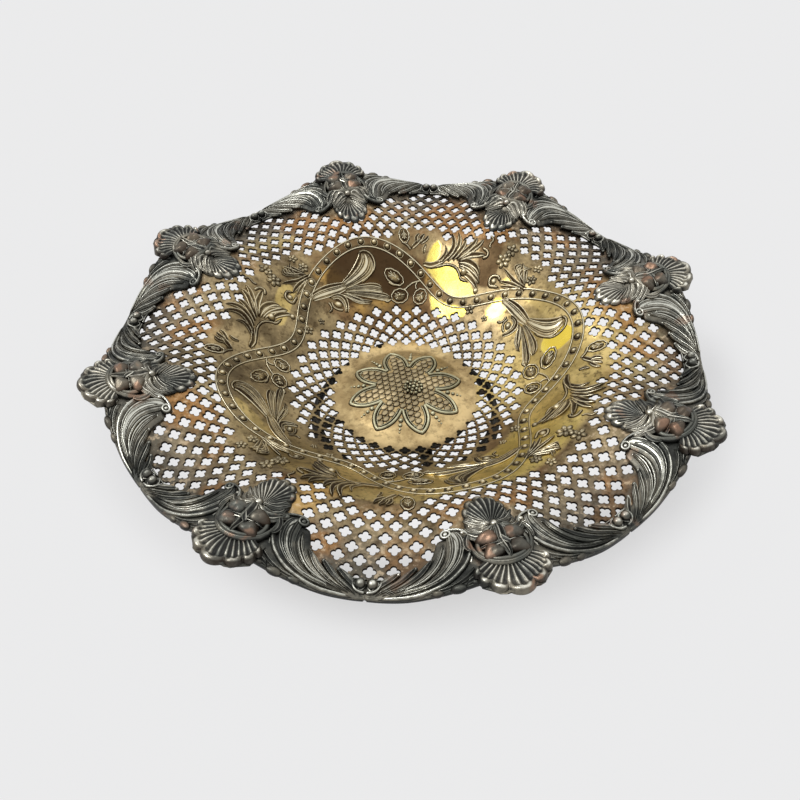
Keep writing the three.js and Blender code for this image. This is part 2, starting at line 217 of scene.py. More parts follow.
def make_piece(name, patch, look, slot, *nodes):
    """Turns a patch into a Blender object that rides on the bowl, and stands for CAD nodes."""
    rounded = np.round(patch.points, 3)
    _, keep, index = np.unique(rounded, axis=0, return_index=True, return_inverse=True)
    faces = index.ravel()[patch.faces]
    faces = faces[(faces[:, 0] != faces[:, 2]) & (faces[:, 1] != faces[:, 3])]
    double = faces == np.roll(faces, -1, axis=1)
    pinched = double.sum(1) == 1
    quads = faces[double.sum(1) == 0]
    triangles = faces[pinched][~double[pinched]].reshape(-1, 3)
    mesh = bpy.data.meshes.new(name)
    mesh.from_pydata((patch.points[keep] * MM).tolist(), [], quads.tolist() + triangles.tolist())
    mesh.validate()
    mesh.shade_smooth()
    for mark, values in zip(("wear_and_sheen", "stain", "across"), patch.marks):
        mesh.attributes.new(mark, "FLOAT", "POINT").data.foreach_set("value", values[keep])
    mesh.materials.append(look)
    piece = bpy.data.objects.new(name, mesh)
    bpy.context.scene.collection.objects.link(piece)
    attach(piece, "root")
    if nodes:
        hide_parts(*nodes)


# Strokes and bosses, which all the raised work is made of

def stroke(path, half, crown, lift=(0,), depth=0.4, steps=14, sides=10, ends=(0.12, 0.3), lean=0.0,
           skirt=0.0, base=top_at):
    """A rounded ridge along a path of plan points. half, crown and lift run along it: its half
    width, its rise over its foot, and the foot's height over the base, the surface it lies on. It goes
    down into that by depth, and its ends are rounded off. lean moves its crest to one side, and skirt
    is the width of a dark line beside it, painted shade round its foot."""
    run = along(path, steps)
    u = np.linspace(0, 1, steps)
    start, finish = 1 - ramp(u, 0, ends[0]), ramp(u, 1 - ends[1], ends[1])
    round_off = (np.sqrt(1 - start**2) * np.sqrt(1 - finish**2))[:, None]
    turn = np.linspace(0, np.pi, sides - 3)
    up = np.concatenate([np.sin(turn), [0, 0, 0]])
    down = np.concatenate([0 * turn, [0.7, 1, 0.7]])
    place = np.concatenate([np.cos(turn), [-1, 0, 1]])
    beyond = 0 * place
    # The skirt is a flat margin at the darkest colour: painted shade round the stroke's foot
    if skirt:
        up = np.concatenate([[0], up[:-3], [0], up[-3:]])
        down = np.concatenate([[0], down[:-3], [0], down[-3:]])
        place = np.concatenate([[1], place[:-3], [-1], place[-3:]])
        beyond = np.concatenate([[skirt], 0 * turn, [-skirt, -skirt, 0, skirt]])
    reach = along(half, steps)[:, None] * round_off * (place + lean * up) + beyond * round_off
    plan = run[:, None] + sideways(run)[:, None] * reach[..., None]
    clear = 0.07 if skirt else 0
    height = base(plan) + along(lift, steps)[:, None] + clear * (down == 0)
    height = height + round_off * (along(crown, steps)[:, None] * up - depth * down)
    ones = np.ones((steps, 1))
    return tube(raised(plan, height), up * ones, 0.0, (place + 1) / 2 * ones)


def ring_stroke(x, y, reach_x, reach_y, half, crown, lift, steps=40, sides=10, base=top_at):
    """A closed oval ridge."""
    t = turns(steps)
    run = np.stack([x + reach_x * np.cos(t), y + reach_y * np.sin(t)], 1)
    out = np.stack([np.cos(t) / reach_x, np.sin(t) / reach_y], 1)
    out /= np.linalg.norm(out, axis=1, keepdims=True)
    phi = turns(sides)
    plan = run[:, None] + out[:, None] * (half * np.cos(phi))[None, :, None]
    points = raised(plan, base(plan) + lift + crown * np.sin(phi))
    wear_and_sheen = np.maximum(np.sin(phi), 0) * np.ones((steps + 1, 1))
    return tube(np.concatenate([points, points[:1]]), wear_and_sheen, flip=True)


def dome(x, y, radius, crown, lift=0.0, sides=14, rings=5, squash=1.0, turn=0.0, stain=0.0, low=-0.25,
         base=top_at, lumpy=0.0):
    """A round boss; squash narrows it across the direction that turn gives, low is how far down its
    lower half goes, to -1 for a whole ball, and lumpy how uneven it is."""
    rise = np.linspace(low, 1, rings + 1)[:, None] * np.pi / 2
    t = turns(sides)
    reach = radius * np.cos(rise) * (1 + lumpy * np.sin(3 * t + x) * np.cos(rise))
    plan = set_at(x, y, reach * np.cos(t), reach * np.sin(t) * squash, math.radians(turn))
    middle = np.array([x, y], float)
    follow = (top_at(plan) - top_at(middle)) * np.cos(rise)
    dents = 1 + 1.5 * lumpy * np.sin(2 * t + y) * np.sin(2 * rise)
    height = base(middle) + follow + lift + crown * np.sin(rise) * dents
    return tube(raised(plan, height), np.clip(np.sin(rise), 0, 1) * np.ones(sides), stain)


def boss(degrees, radius, *size, **more):
    """A dome whose place is given in degrees and radius."""
    return dome(*polar((degrees, radius))[0], *size, **more)


# The pierced sheet

PETAL_SPREAD = 1.75  # from the middle of a piercing to the middle of each of its four petals
PETAL_ROUND = 1.45
EDGE_POINTS = 6  # along each side of a lattice cell
CELL_POINTS = 4 * EDGE_POINTS
INNER_HOLES = 32
OUTER_HOLES = 88
INNER_ROWS = [43.8, 48, 52.2, 56.5, 61, 65.3, 69.5, 73.8]
OUTER_ROWS = [76.5, 82.5, 89, 95.5, 102, 108.5, 115, 121.5, 128, 135, 142, 148.5, 154.5, 160.5, 166]
FIRST_PIERCED_ROW = 6  # of the outer rows
ROW_BOW = 1.7  # how far the outer rows bow out at the lobe middles and in at the ridges
# Half angle of each outer pierced row about a lobe's middle, in degrees
ROW_SPAN = {7: 22.5, 8: 20.6, 9: 17, 10: 14.4, 11: 10.6, 12: 7.4, 13: 4.6}
# Rings of a piercing: how far each stands off its outline, its height over the upper face, its stain
HOLE_STEPS = [
    (0.55, 0, 0.12), (0.18, -0.06, 0.85), (0, -0.35, 1), (0, 0.25 - SHEET, 1), (0.25, -SHEET, 0.8),
]
WALL_FOOT = (75.0, 75.4)  # where the inner lattice's part of the sheet meets that of the wall


def bowed(row, angle):
    share = smooth_curve([(76, 0), (115, 1), (150, 1), (166, 0)], OUTER_ROWS[row])
    return OUTER_ROWS[row] - ROW_BOW * share * np.cos(LOBES * angle)


def level(row, angle):
    return INNER_ROWS[row] + 0 * angle


def pierced_inside(row, angle):
    return np.ones(angle.shape, bool)


def pierced_outside(row, angle):
    from_middle = np.abs((np.degrees(angle) % 45) - 22.5)
    from_trough = np.degrees(angle) % 90 - 45
    if row < FIRST_PIERCED_ROW:
        return np.zeros(angle.shape, bool)
    if row == FIRST_PIERCED_ROW:
        beside = (np.abs(from_trough - 14.3) < 1) | (np.abs(from_trough - 6.1) < 1)
        return (from_trough > 31) | (from_trough < -25) | beside
    open_here = from_middle <= ROW_SPAN[row]
    if row == FIRST_PIERCED_ROW + 1:
        open_here &= np.abs(from_trough + 8.2) > 1
    return open_here


# Smooth polished reserves between the chased leaves, bright with a painted reflection, and places
# painted dark brown as a dark reflection: how bright each is painted, less than 0 for the painted
# dark, and its outline in degrees from a trough and radius
PAINTED_REFLECTIONS = [
    (-0.8, [(20, 84), (20, 92), (24, 99), (31, 103.5), (40, 107), (48, 107), (56, 104), (62, 98),
            (65, 90), (62, 80), (50, 76.5), (36, 76.5), (25, 78)]),
    (-0.9, [(-1, 97), (1, 106), (2.6, 118), (-5, 119), (-7.5, 110), (-9, 100), (-8, 91), (-2.6, 90)]),
    (1.0, [(20.6, 98.6), (18.2, 97.9), (16.2, 99.5), (15.3, 103), (15.6, 108.5), (17, 112.2),
           (18.6, 109.5), (19.8, 104)]),
    (1.0, [(20.5, 95), (16, 96), (12, 97.2), (8.5, 96.2), (6, 93), (4.4, 90.6), (0.4, 90), (-2.2, 87.6),
           (-4, 85), (0, 82.4), (3, 80.8), (7, 81.2), (10, 83), (15, 88)]),
    (0.85, [(17, 80.2), (10, 77.4), (5, 76.2), (0, 76.8), (-4, 77), (-5, 71), (2, 67), (10, 66), (15, 71)]),
    (0.8, [(-11.5, 98), (-13.5, 102), (-17, 101), (-19, 99.5), (-16, 97)]),
    (1.0, [(-44.2, 93.5), (-45.8, 98), (-47.2, 102.5), (-50, 104.4), (-53.4, 102), (-54.6, 96),
           (-54.4, 88), (-50, 86.6), (-47.6, 88)]),
    (0.95, [(-13.5, 89), (-17.5, 92.5), (-21, 89.5), (-21, 83), (-18.6, 78.5), (-15, 77), (-13, 80.4)]),
    (0.5, [(-25, 96.5), (-33, 97), (-39, 97), (-41.6, 98.8), (-42.4, 103.5), (-37, 105), (-31, 103),
           (-25, 99.5)]),
    (0.45, [(-56.5, 91), (-57, 101.5), (-61, 100.5), (-66, 96), (-66, 92)]),
    (0.56, [(76, 97), (77, 103), (81, 104.5), (86, 101), (91, 95), (95, 89), (92, 87), (86, 89.5),
            (80, 93.5)]),
    (0.5, [(139, 104), (143, 105), (149, 103), (155, 99), (157, 95), (152, 93.5), (147, 95), (142, 99)]),
    (0.48, [(62, 130), (66, 142), (74, 148), (82, 142), (80, 132), (70, 127)]),
]
BRIGHT_EDGE = 1.8  # how softly a reserve's edge fades, in mm
# How softly a painted dark reflection's edge fades, in mm
DARK_REFLECTION_EDGE = 5
DISC_ENDS, WALL_BEGINS, WALL_ENDS = 42, 74, 117  # radii between which the sheet's tone changes
# Azimuths in degrees of painted light and shade on the sheet: where the wall is painted brightest and
# second brightest as lit, where a painted sheen lies on the lattices, and where they are painted dark
# as shade
SUNNY_SIDE = 325
SECOND_SIDE = 238
GLANCING_SIDE = -12
SHADED_OUTSIDE = (40, 297)
SHADED_INSIDE = 74


def polish_and_light_mark(radius, angle):
    """How bright the sheet is painted, less than 0 where it is painted dark: even on the disc, with
    painted light and shade graded round the wall and the lattices, and set by the reserves' painted
    reflections where they lie."""
    degrees = np.degrees(angle)

    def towards(side):
        return np.clip(np.cos(np.radians(degrees - side)), 0, 1)

    off_disc = ramp(radius, DISC_ENDS, 4)
    wall = ramp(radius, WALL_BEGINS, 4) * ramp(-radius, -WALL_ENDS, 5)
    outer_lattice = ramp(radius, WALL_ENDS, 6)
    inner_lattice = off_disc * ramp(-radius, -WALL_BEGINS - 4, 4)
    # Painted light: the wall is painted brighter on the sides towards the light, and a painted sheen lies
    # on the lattices on one side
    sunny = 0.5 + 0.5 * np.cos(np.radians(degrees - SUNNY_SIDE))
    sheen = 0.55 * towards(GLANCING_SIDE) ** 5 * off_disc
    # Painted shade: the lattices are painted darker on two sides outside the wall and one inside it
    far, near = (towards(side) ** 8 for side in SHADED_OUTSIDE)
    shaded_sides = (0.55 * far + 0.4 * near) * outer_lattice
    shaded_sides = shaded_sides + 0.35 * towards(SHADED_INSIDE) ** 3 * inner_lattice
    polish_and_light = (0.04 + 0.5 * sunny**2 + 0.3 * towards(SECOND_SIDE)) * wall + (sheen - shaded_sides) * (1 - wall)
    place = (degrees - 45 + 180) % 360 - 180
    # Each reserve lays its painted reflection over the rest, bright or dark
    for share, outline in PAINTED_REFLECTIONS:
        soft = BRIGHT_EDGE if share > 0 else DARK_REFLECTION_EDGE
        inside = np.clip(0.5 + depth_inside(outline, place, radius) / soft, 0, 1)
        polish_and_light = polish_and_light * (1 - inside) + share * inside
    return polish_and_light


def depth_inside(outline, degrees, radius):
    """How far in points lie from a closed outline, in mm; less than 0 outside it."""
    wide = np.radians(90)
    x, y = degrees * wide, radius
    inside, depth = np.zeros(x.shape, bool), np.full(x.shape, 99.0)
    for (x0, y0), (x1, y1) in zip(outline, outline[1:] + outline[:1]):
        x0, x1 = x0 * wide, x1 * wide
        long = (x1 - x0) ** 2 + (y1 - y0) ** 2
        share = np.clip(((x - x0) * (x1 - x0) + (y - y0) * (y1 - y0)) / long, 0, 1)
        depth = np.minimum(depth, np.hypot(x - x0 - share * (x1 - x0), y - y0 - share * (y1 - y0)))
        if y0 != y1:
            inside ^= ((y0 > y) != (y1 > y)) & (x < (x1 - x0) * (y - y0) / (y1 - y0) + x0)
    return np.where(inside, depth, -depth)


def sheet_patch(angle, radius, lift, faces, stain=0.0):
    points = raised(on_circle(angle, radius), sheet_top(radius, angle) + lift)
    return Patch(points, faces, polish_and_light_mark(radius, angle), stain)


def cell_border(row, middle, pitch, ring):
    """The four corners of lattice cells and the points along their sides, as angles and radii."""
    corner_angle = np.stack([middle + pitch, middle, middle - pitch, middle], -1)
    rows = (row, row + 1, row, row - 1)
    corner_radius = np.stack([ring(r, a) for r, a in zip(rows, corner_angle.T)], -1)
    k = np.arange(CELL_POINTS)
    edge, share = k // EDGE_POINTS, (k % EDGE_POINTS) / EDGE_POINTS
    after = (edge + 1) % 4
    angle = corner_angle[:, edge] * (1 - share) + corner_angle[:, after] * share
    radius = corner_radius[:, edge] * (1 - share) + corner_radius[:, after] * share
    return corner_angle, corner_radius, angle, radius


def every_cell(one, cells, points):
    """The faces of one cell, repeated for each cell of a row."""
    return (np.arange(cells) * points)[:, None, None] + one


def pierced_cells(row, middle, angle, radius, ring):
    """Cells with a hole: rings of points from the cell's sides over the hole's edge to the underside."""
    phi = turns(CELL_POINTS)
    fold = (phi + np.pi / 4) % (np.pi / 2) - np.pi / 4
    outline = PETAL_SPREAD * np.cos(fold) + np.sqrt(PETAL_ROUND**2 - (PETAL_SPREAD * np.sin(fold)) ** 2)
    hub = ring(row, middle)[:, None]
    off, lift, stain = np.array(HOLE_STEPS).T
    reaches = [outline + o for o in off]
    a = np.stack([angle] + [middle[:, None] + r * np.cos(phi) / hub for r in reaches] + [angle], 1)
    r = np.stack([radius] + [hub + r * np.sin(phi) for r in reaches] + [radius], 1)
    lift = np.concatenate([[0], lift, [-SHEET]])[:, None] + 0 * a
    stain = np.concatenate([[0], stain, [0]])[:, None] + 0 * a
    rings = a.shape[1]
    faces = every_cell(grid_faces(rings, CELL_POINTS, closed=True), len(middle), rings * CELL_POINTS)
    return sheet_patch(a.ravel(), r.ravel(), lift.ravel(), faces[..., ::-1], stain.ravel())


def plain_cells(corner_angle, corner_radius):
    """Cells with no hole, as a small grid on each face of the sheet."""
    s = np.linspace(0, 1, EDGE_POINTS + 1)
    u, v = np.meshgrid(s, s, indexing="ij")
    weights = np.stack([(1 - u) * (1 - v), u * (1 - v), u * v, (1 - u) * v], -1)
    angle = np.einsum("uvc,nc->nuv", weights, corner_angle).ravel()
    radius = np.einsum("uvc,nc->nuv", weights, corner_radius).ravel()
    faces = every_cell(grid_faces(len(s), len(s)), len(corner_angle), len(s) ** 2)
    return [sheet_patch(angle, radius, 0.0, faces), sheet_patch(angle, radius, -SHEET, faces[..., ::-1])]


def lattice(rows, holes, first_offset, ring, pierced):
    """The cells of one lattice. Returns them with the zigzags along its lower and upper side."""
    pitch = np.pi / holes
    half = CELL_POINTS // 2
    made, low, high = [], None, None
    for row in range(1, len(rows) - 1):
        middle = first_offset + pitch * (row % 2) + 2 * pitch * np.arange(holes)
        corner_angle, corner_radius, angle, radius = cell_border(row, middle, pitch, ring)
        open_here = pierced(row, middle)
        if open_here.any():
            made.append(pierced_cells(row, middle[open_here], angle[open_here], radius[open_here], ring))
        if not open_here.all():
            made += plain_cells(corner_angle[~open_here], corner_radius[~open_here])
        if row == 1:
            low = (angle[:, half:].ravel(), radius[:, half:].ravel())
    high = (angle[:, half:0:-1].ravel(), radius[:, half:0:-1].ravel())
    return made, low, high


def rings_patch(angle, radii, lifts, flip=False):
    """Rings of points at the same angles, joined one to the next."""
    faces = grid_faces(len(radii), len(angle), closed=True)
    r = np.stack([np.broadcast_to(r, angle.shape) for r in radii])
    a = np.broadcast_to(angle, r.shape)
    lift = np.broadcast_to(np.asarray(lifts, float).reshape(-1, 1), r.shape)
    return sheet_patch(a.ravel(), r.ravel(), lift.ravel(), faces if flip else faces[:, ::-1])


def on_both_faces(angle, radii):
    flat = [0.0] * len(radii)
    return [rings_patch(angle, radii, flat), rings_patch(angle, radii, [-SHEET] * len(radii), flip=True)]


def seam(inner_angle, outer_angle, lift, flip):
    """Joins the two rings at the foot of the wall, which have unequal numbers of points, taking the
    nearest next point each time."""
    a, b = np.sort(inner_angle % (2 * np.pi)), np.sort(outer_angle % (2 * np.pi))
    i = j = 0
    faces = []
    n, m = len(a), len(b)
    while i < n or j < m:
        next_a = a[(i + 1) % n] + 2 * np.pi * ((i + 1) // n)
        next_b = b[(j + 1) % m] + 2 * np.pi * ((j + 1) // m)
        if j >= m or (i < n and next_a < next_b):
            faces.append([i % n, n + j % m, (i + 1) % n, (i + 1) % n])
            i += 1
        else:
            faces.append([i % n, n + j % m, n + (j + 1) % m, n + (j + 1) % m])
            j += 1
    faces = np.array(faces)
    radius = np.repeat(WALL_FOOT, (n, m))
    return sheet_patch(np.concatenate([a, b]), radius, lift, faces[:, ::-1] if flip else faces)


def pierced_sheet():
    inner_offset = math.radians(11.25 / 2) - math.pi / INNER_HOLES
    inner, disc_side, wall_side = lattice(INNER_ROWS, INNER_HOLES, inner_offset, level, pierced_inside)
    outer_offset = math.radians(180 / LOBES)
    outer, foot_side, rim_side = lattice(OUTER_ROWS, OUTER_HOLES, outer_offset, bowed, pierced_outside)
    parts = inner + outer
    disc_rings = list(np.linspace(0, DOME_RADIUS, 15)) + [40, DISC_RADIUS]
    parts += on_both_faces(disc_side[0], disc_rings + [lerp(DISC_RADIUS, disc_side[1], 0.5), disc_side[1]])
    middle_in, middle_out = WALL_FOOT
    parts += on_both_faces(wall_side[0], [wall_side[1], lerp(wall_side[1], middle_in, 0.5), middle_in])
    parts += on_both_faces(foot_side[0], [middle_out, lerp(middle_out, foot_side[1], 0.5), foot_side[1]])
    for lift, flip in ((0.0, False), (-SHEET, True)):
        parts.append(seam(wall_side[0], foot_side[0], lift, flip))
    edge = SHEET_RADIUS
    parts += on_both_faces(rim_side[0], [rim_side[1], lerp(rim_side[1], edge, 0.6), edge - 0.3])
    edge_radii = [edge - 0.3, edge, edge, edge - 0.3]
    parts.append(rings_patch(rim_side[0], edge_radii, [0, -0.3, 0.3 - SHEET, -SHEET]))
    return joined(parts)


# The raised work on the sheet, drawn for one quarter and turned to the other three

QUARTERS = 4
RIBBON_HALF = 3.25
RIBBON_STEPS = 960
STUDS = 72
# One side of the band's section: place as a share of its half width, height over the sheet, darkness
BAND_SIDE = [
    (-1.14, -0.3, 0.5), (-1.1, 0.07, 0.6), (-0.99, 0.09, 0.8), (-0.8, 0.14, 0.8), (-0.66, 0.2, 0.3),
    (-0.3, 0.26, 0.2),
]
# One side of a petal, as distances along it from the middle of the bowl and half widths
PETAL_SIDE = [(16.8, 6.95), (20, 7.3), (24, 7.35), (28, 6.6), (31.5, 4.9), (34.2, 2.7), (36.2, 0)]
ROSETTE = (4.4, -2.6)  # the middle of the beads on the medallion
NET_PITCH = 4.6
NET_TURN = 25


def ribbon_radius(degrees):
    """Radius of the ribbon's middle line, which swings out and in four times round the bowl."""
    a = np.radians(degrees)
    wave = 94.6 + 15.2 * np.cos(4 * a) + 3.6 * np.sin(4 * a)
    return wave - 0.7 * np.cos(8 * a) - 1.3 * np.sin(8 * a)


def ribbon_run(count):
    """Plan points round the ribbon's middle line, evenly spaced, and the unit vectors across it."""
    degrees = np.linspace(0, 360, 4001)
    plan = on_circle(np.radians(degrees), ribbon_radius(degrees))
    length = np.concatenate([[0], np.cumsum(np.linalg.norm(np.diff(plan, axis=0), axis=1))])
    even = np.linspace(0, length[-1], count, endpoint=False)
    run = np.stack([np.interp(even, length, line) for line in plan.T], 1)
    step = np.roll(run, -1, axis=0) - np.roll(run, 1, axis=0)
    step /= np.linalg.norm(step, axis=1, keepdims=True)
    return run, np.stack([-step[:, 1], step[:, 0]], 1)


def beside_ribbon(offsets, rises):
    """Rows of points along the ribbon, off its middle line and over the sheet."""
    run, across = ribbon_run(RIBBON_STEPS)
    plan = run + across * offsets[:, None, None]
    return raised(plan, top_at(plan) + rises[:, None])


def ribbon_band():
    """The band, dark under its edge lines."""
    place, rise, dark = np.array(BAND_SIDE + [(-p, r, d) for p, r, d in BAND_SIDE[::-1]]).T
    points = beside_ribbon(place * RIBBON_HALF, rise)
    return tube(points, polish_and_light_mark(*radius_angle(points)), dark[:, None] * np.ones(RIBBON_STEPS))


def ribbon_line(edge):
    """A thin raised line along the band, at a share of its half width."""
    turn = np.linspace(np.pi, 0, 7)
    points = beside_ribbon(edge * RIBBON_HALF + 0.33 * np.cos(turn), 0.05 + 0.65 * np.sin(turn))
    return tube(points, 1.4 * np.sin(turn)[:, None] * np.ones(RIBBON_STEPS))


def ribbon_studs():
    """Studs, each with a flat ring of painted shade round its foot and a fine line round that."""
    run, _ = ribbon_run(STUDS)
    made = [dome(x, y, 1.7, 1.7, lift=0.2, sides=18, rings=7) for x, y in run]
    for x, y in run:
        # A flat ring at the darkest colour: painted shade round the stud
        made.append(dome(x, y, 2.4, 0.1, lift=0.26, sides=18, rings=2).rubbed_and_glints(0))
        made.append(ring_stroke(x, y, 2.35, 2.35, 0.22, 0.3, 0.33, steps=20, sides=6))
    return joined(made + [ribbon_line(-0.91), ribbon_line(0.91)])


def petal_outline(inset, tip):
    """One side of a petal from notch to tip, in plan, set in from the petal's edge."""
    edge = along(PETAL_SIDE, 17)
    line = edge - sideways(edge) * inset
    in_sector = (line[:, 1] > 0) & (line[:, 1] < line[:, 0] * math.tan(math.pi / LOBES))
    return np.concatenate([line[in_sector], tip])


def medallion():
    """Eight pointed petals with a bold outline and a fine one inside it, beads between them, and the
    cluster of beads in the middle."""
    made = []
    for inset, half, crown in ((0.2, 0.98, 1.15), (2.1, 0.34, 0.5)):
        tip = PETAL_SIDE[-1][0] - 1.9 * inset
        line = petal_outline(inset, [[tip, 0], [tip + 0.35, -0.9 * half]])
        petal_line = stroke(line, [half], [crown], [-0.05], steps=24, ends=(0.02, 0.02), skirt=0.3)
        made += [petal_line, petal_line.mirrored()]
    for radius, ball in ((26.6, 1.6), (29.9, 1.25), (32.6, 0.9), (34.6, 0.6)):
        made.append(boss(180 / LOBES, radius, ball, ball * 0.8, lift=0.1, sides=12, rings=4))
    x, y = ROSETTE
    rosette = [dome(x, y, 1.4, 1.6, lift=0.8, sides=10, rings=4)]
    for count, reach in ((6, 2.7), (12, 5.2)):
        for dx, dy in on_circle(turns(count), reach):
            rosette.append(dome(x + dx, y + dy, 1.1, 1.5, lift=0.7, sides=9, rings=4))
    return joined([around(joined(made), LOBES)] + rosette)


def in_flower(x, y, inset):
    """Whether a plan point lies inside the flower of petals, set in from its edge."""
    radius, angle = np.hypot(x, y), np.arctan2(y, x)
    fold = (angle + np.pi / LOBES) % (2 * np.pi / LOBES) - np.pi / LOBES
    out, side = radius * np.cos(fold), np.abs(radius * np.sin(fold))
    width = np.interp(out, *np.array([(0, 9)] + PETAL_SIDE).T)
    return (side < width - inset) | (radius < 16)


def medallion_net():
    """Rows of overlapping scales, all lying the same way across the flower."""
    made = []
    for row in range(-13, 14):
        for column in range(-11, 12):
            u, v = (column + 0.5 * (row % 2)) * NET_PITCH, row * NET_PITCH * 0.78
            x, y = set_at(0, 0, u, v, math.radians(NET_TURN))
            if in_flower(x, y, 2.9):
                scale = dome(x, y, NET_PITCH * 0.56, 0.55, sides=12, rings=3, squash=0.8, turn=NET_TURN)
                made.append(scale.rubbed_and_glints(0.74))
    return joined(made)


def blade(path, half, crown, ribs=2, count=14, lift=0.0, tip=0.0, base=top_at):
    """A pointed leaf lobe along a path of plan points, with ribs along it."""
    run = along(path, count)
    u = np.linspace(0, 1, count)
    wide = (half * 1.12 * np.sin(np.pi * (0.16 + 0.84 * u)) ** 0.7)[:, None]
    side = sideways(run)
    left, right = run + side * wide, run - side * wide
    return fluted_leaf(left, right, ribs, 0.5 * crown, 0.6 * crown, lift, count, 6, base, tip)


def frond(path, half, crown):
    """A chased leaf lobe. Its place is in degrees and radius."""
    return blade(polar(*path), half, crown)


def vein(path, half=0.5, crown=0.6):
    """A thin chased line of even width."""
    return stroke(polar(*path), [half], [crown], sides=8, ends=(0.08, 0.12), skirt=0.4)


def outline(line, steps, half=0.3, crown=0.75):
    """A fine raised line through plan points, rubbed pale."""
    line = stroke(line, [half], [crown], [0.0], steps=steps, sides=8, ends=(0.01, 0.01), skirt=0.35)
    return line.rubbed_and_glints(1.5)


def bud(degrees, radius, long, wide, turn):
    """A small leaf with a scalloped outline, a raised body and veins."""
    x, y = polar((degrees, radius))[0]
    way = math.radians(degrees + 90 + turn)
    t = np.linspace(0.12, 2 * np.pi + 0.12, 73)
    reach = 1 + 0.08 * np.abs(np.sin(4.5 * t))
    edge = set_at(x, y, long * np.cos(t) * reach, wide * np.sin(t) * reach, way)
    body = dome(x, y, long * 0.78, 0.9, squash=wide / long, turn=math.degrees(way), sides=16)
    made = [body.rubbed_and_glints(0.6), outline(edge, 90)]
    # The midrib, and a pair of veins at two places along it
    for start, end, out in (
        (-0.8, 0.8, 0), (-0.3, 0.2, 0.62), (-0.3, 0.2, -0.62), (0.1, 0.6, 0.5), (0.1, 0.6, -0.5),
    ):
        line = set_at(x, y, long * np.array([start, end]), wide * np.array([0, out]), way)
        made.append(stroke(line, [0.26], [0.5], [0.85 - 0.4 * abs(out)], steps=8, sides=7).rubbed_and_glints(1.3))
    return made


def flower(degrees, radius, reach, petals, crown=0.9):
    """A chased flower: cupped petals round a bead."""
    middle = polar((degrees, radius))[0]
    made = []
    for a in turns(petals):
        out = np.array([math.cos(a), math.sin(a)]) * reach
        made.append(dome(*middle + 0.6 * out, reach * 0.48, crown * 0.8, squash=0.72, turn=math.degrees(a),
                         sides=12, rings=4))
        fold = [middle + 0.3 * out, middle + out]
        made.append(stroke(fold, [reach * 0.06], [crown * 0.5], [crown * 0.45], steps=6, sides=7))
    return made + [dome(*middle, reach * 0.28, crown, lift=0.25, sides=10, rings=4)]


def crest_cell():
    """Leaves inside an arch of the ribbon. Places are degrees from the ridge and radius."""
    made = []
    # A sheaf of stalks from the ribbon, the large leaf with its curled tip, fronds below it, and a
    # sheaf that bends down round a bud: the two edges of each, its ribs and its rise
    for outer, inner, ribs, body in (
        ([(29.5, 91.6), (24, 93), (19, 93), (14.6, 91.8), (10, 90)],
         [(27.5, 88.4), (24, 87.4), (19, 86.4), (14.6, 86), (10.4, 86.8)], 5, 0.6),
        ([(13, 90.4), (9, 93), (5.4, 96.6), (2.8, 100.4), (1.6, 103)],
         [(12, 87.2), (5.6, 87.4), (-0.8, 90.2), (-2.9, 95), (-1.6, 101.8)], 6, 1.2),
        ([(12.6, 87.4), (6, 86.4), (0, 86), (-3.6, 84.8), (-5.2, 82.6)],
         [(12, 85.8), (5.4, 83.4), (0, 81.6), (-3, 80.4), (-5.2, 80.8)], 4, 0.9),
        ([(12, 85.6), (5, 82.6), (-1, 80.8), (-6, 79.4), (-8.8, 77)],
         [(11.4, 84.2), (4.6, 79.6), (-1, 76.8), (-5, 75.2), (-8.6, 75.4)], 4, 0.9),
        ([(12.6, 84.8), (9.4, 81.4), (5.4, 78.2), (0.8, 76)],
         [(13, 84), (10.6, 79.8), (7.4, 76.4), (2.4, 74.8)], 3, 0.7),
        ([(13.4, 85.6), (10.2, 82.8), (7, 79.4), (4.4, 76)],
         [(13.8, 84.6), (11, 80.6), (7.6, 77.4), (4.8, 75.4)], 2, 0.5),
        ([(20.6, 87), (15.4, 86), (12.8, 82.4), (13.2, 77.4), (15, 74)],
         [(19, 84.6), (16.6, 83.6), (15.6, 81), (15.7, 77.6), (16.4, 75)], 3, 0.6),
    ):
        made.append(fluted_leaf(polar(*outer), polar(*inner), ribs, body, 0.7, lift=0.0, steps=30, per=7,
                                base=top_at, tip=0.3, pale=1.0))
    made += [
        vein([(2.4, 103), (-0.2, 104), (-2.6, 101.8), (-3.6, 97.8), (-3.1, 93.6), (0.4, 89.6),
              (4.6, 87.2)]),
        vein([(12.4, 89.8), (8.6, 91.2), (4.4, 94.2), (1.4, 98), (0.6, 101)], 0.45, 1.7),
        vein([(12.6, 85.2), (9, 82), (6, 78.6), (3.4, 76.8)], 0.45, 1.0),
        boss(17.7, 80.8, 2.7, 1.3, squash=0.7, turn=70, sides=16, rings=6),
        vein([(20, 84), (20.4, 80.6), (18.8, 78), (16.6, 76.6)]),
        vein([(21.6, 84.5), (21.4, 81.6), (22.2, 79.6), (24, 79.4)]),
    ]
    # Three buds on their stems, and flowers
    made += bud(-11.2, 88.6, 6.4, 3.6, -28)
    made.append(vein([(-8.4, 86), (-10.6, 84.5), (-13.8, 84.3)]))
    made += bud(-13.4, 77.8, 5.4, 4.0, 12) + bud(-23.6, 78, 4.6, 4.0, 60)
    made.append(boss(-13.4, 77.8, 1.3, 1.8, lift=0.5, sides=12))
    for line in (
        [(-15.4, 81), (-17.6, 83.8), (-20, 86), (-23, 87.2)],
        [(-21.6, 86.4), (-21, 84.4), (-21.6, 82.2)],
        [(-9, 76), (-6.6, 74.6), (-4.6, 77), (-2.6, 79.6)],
    ):
        made.append(outline(polar(*line), 20, 0.32, 0.8))
    return made + flower(30.4, 76.6, 2.2, 5) + flower(39.6, 76.8, 3.2, 5, 1.2)


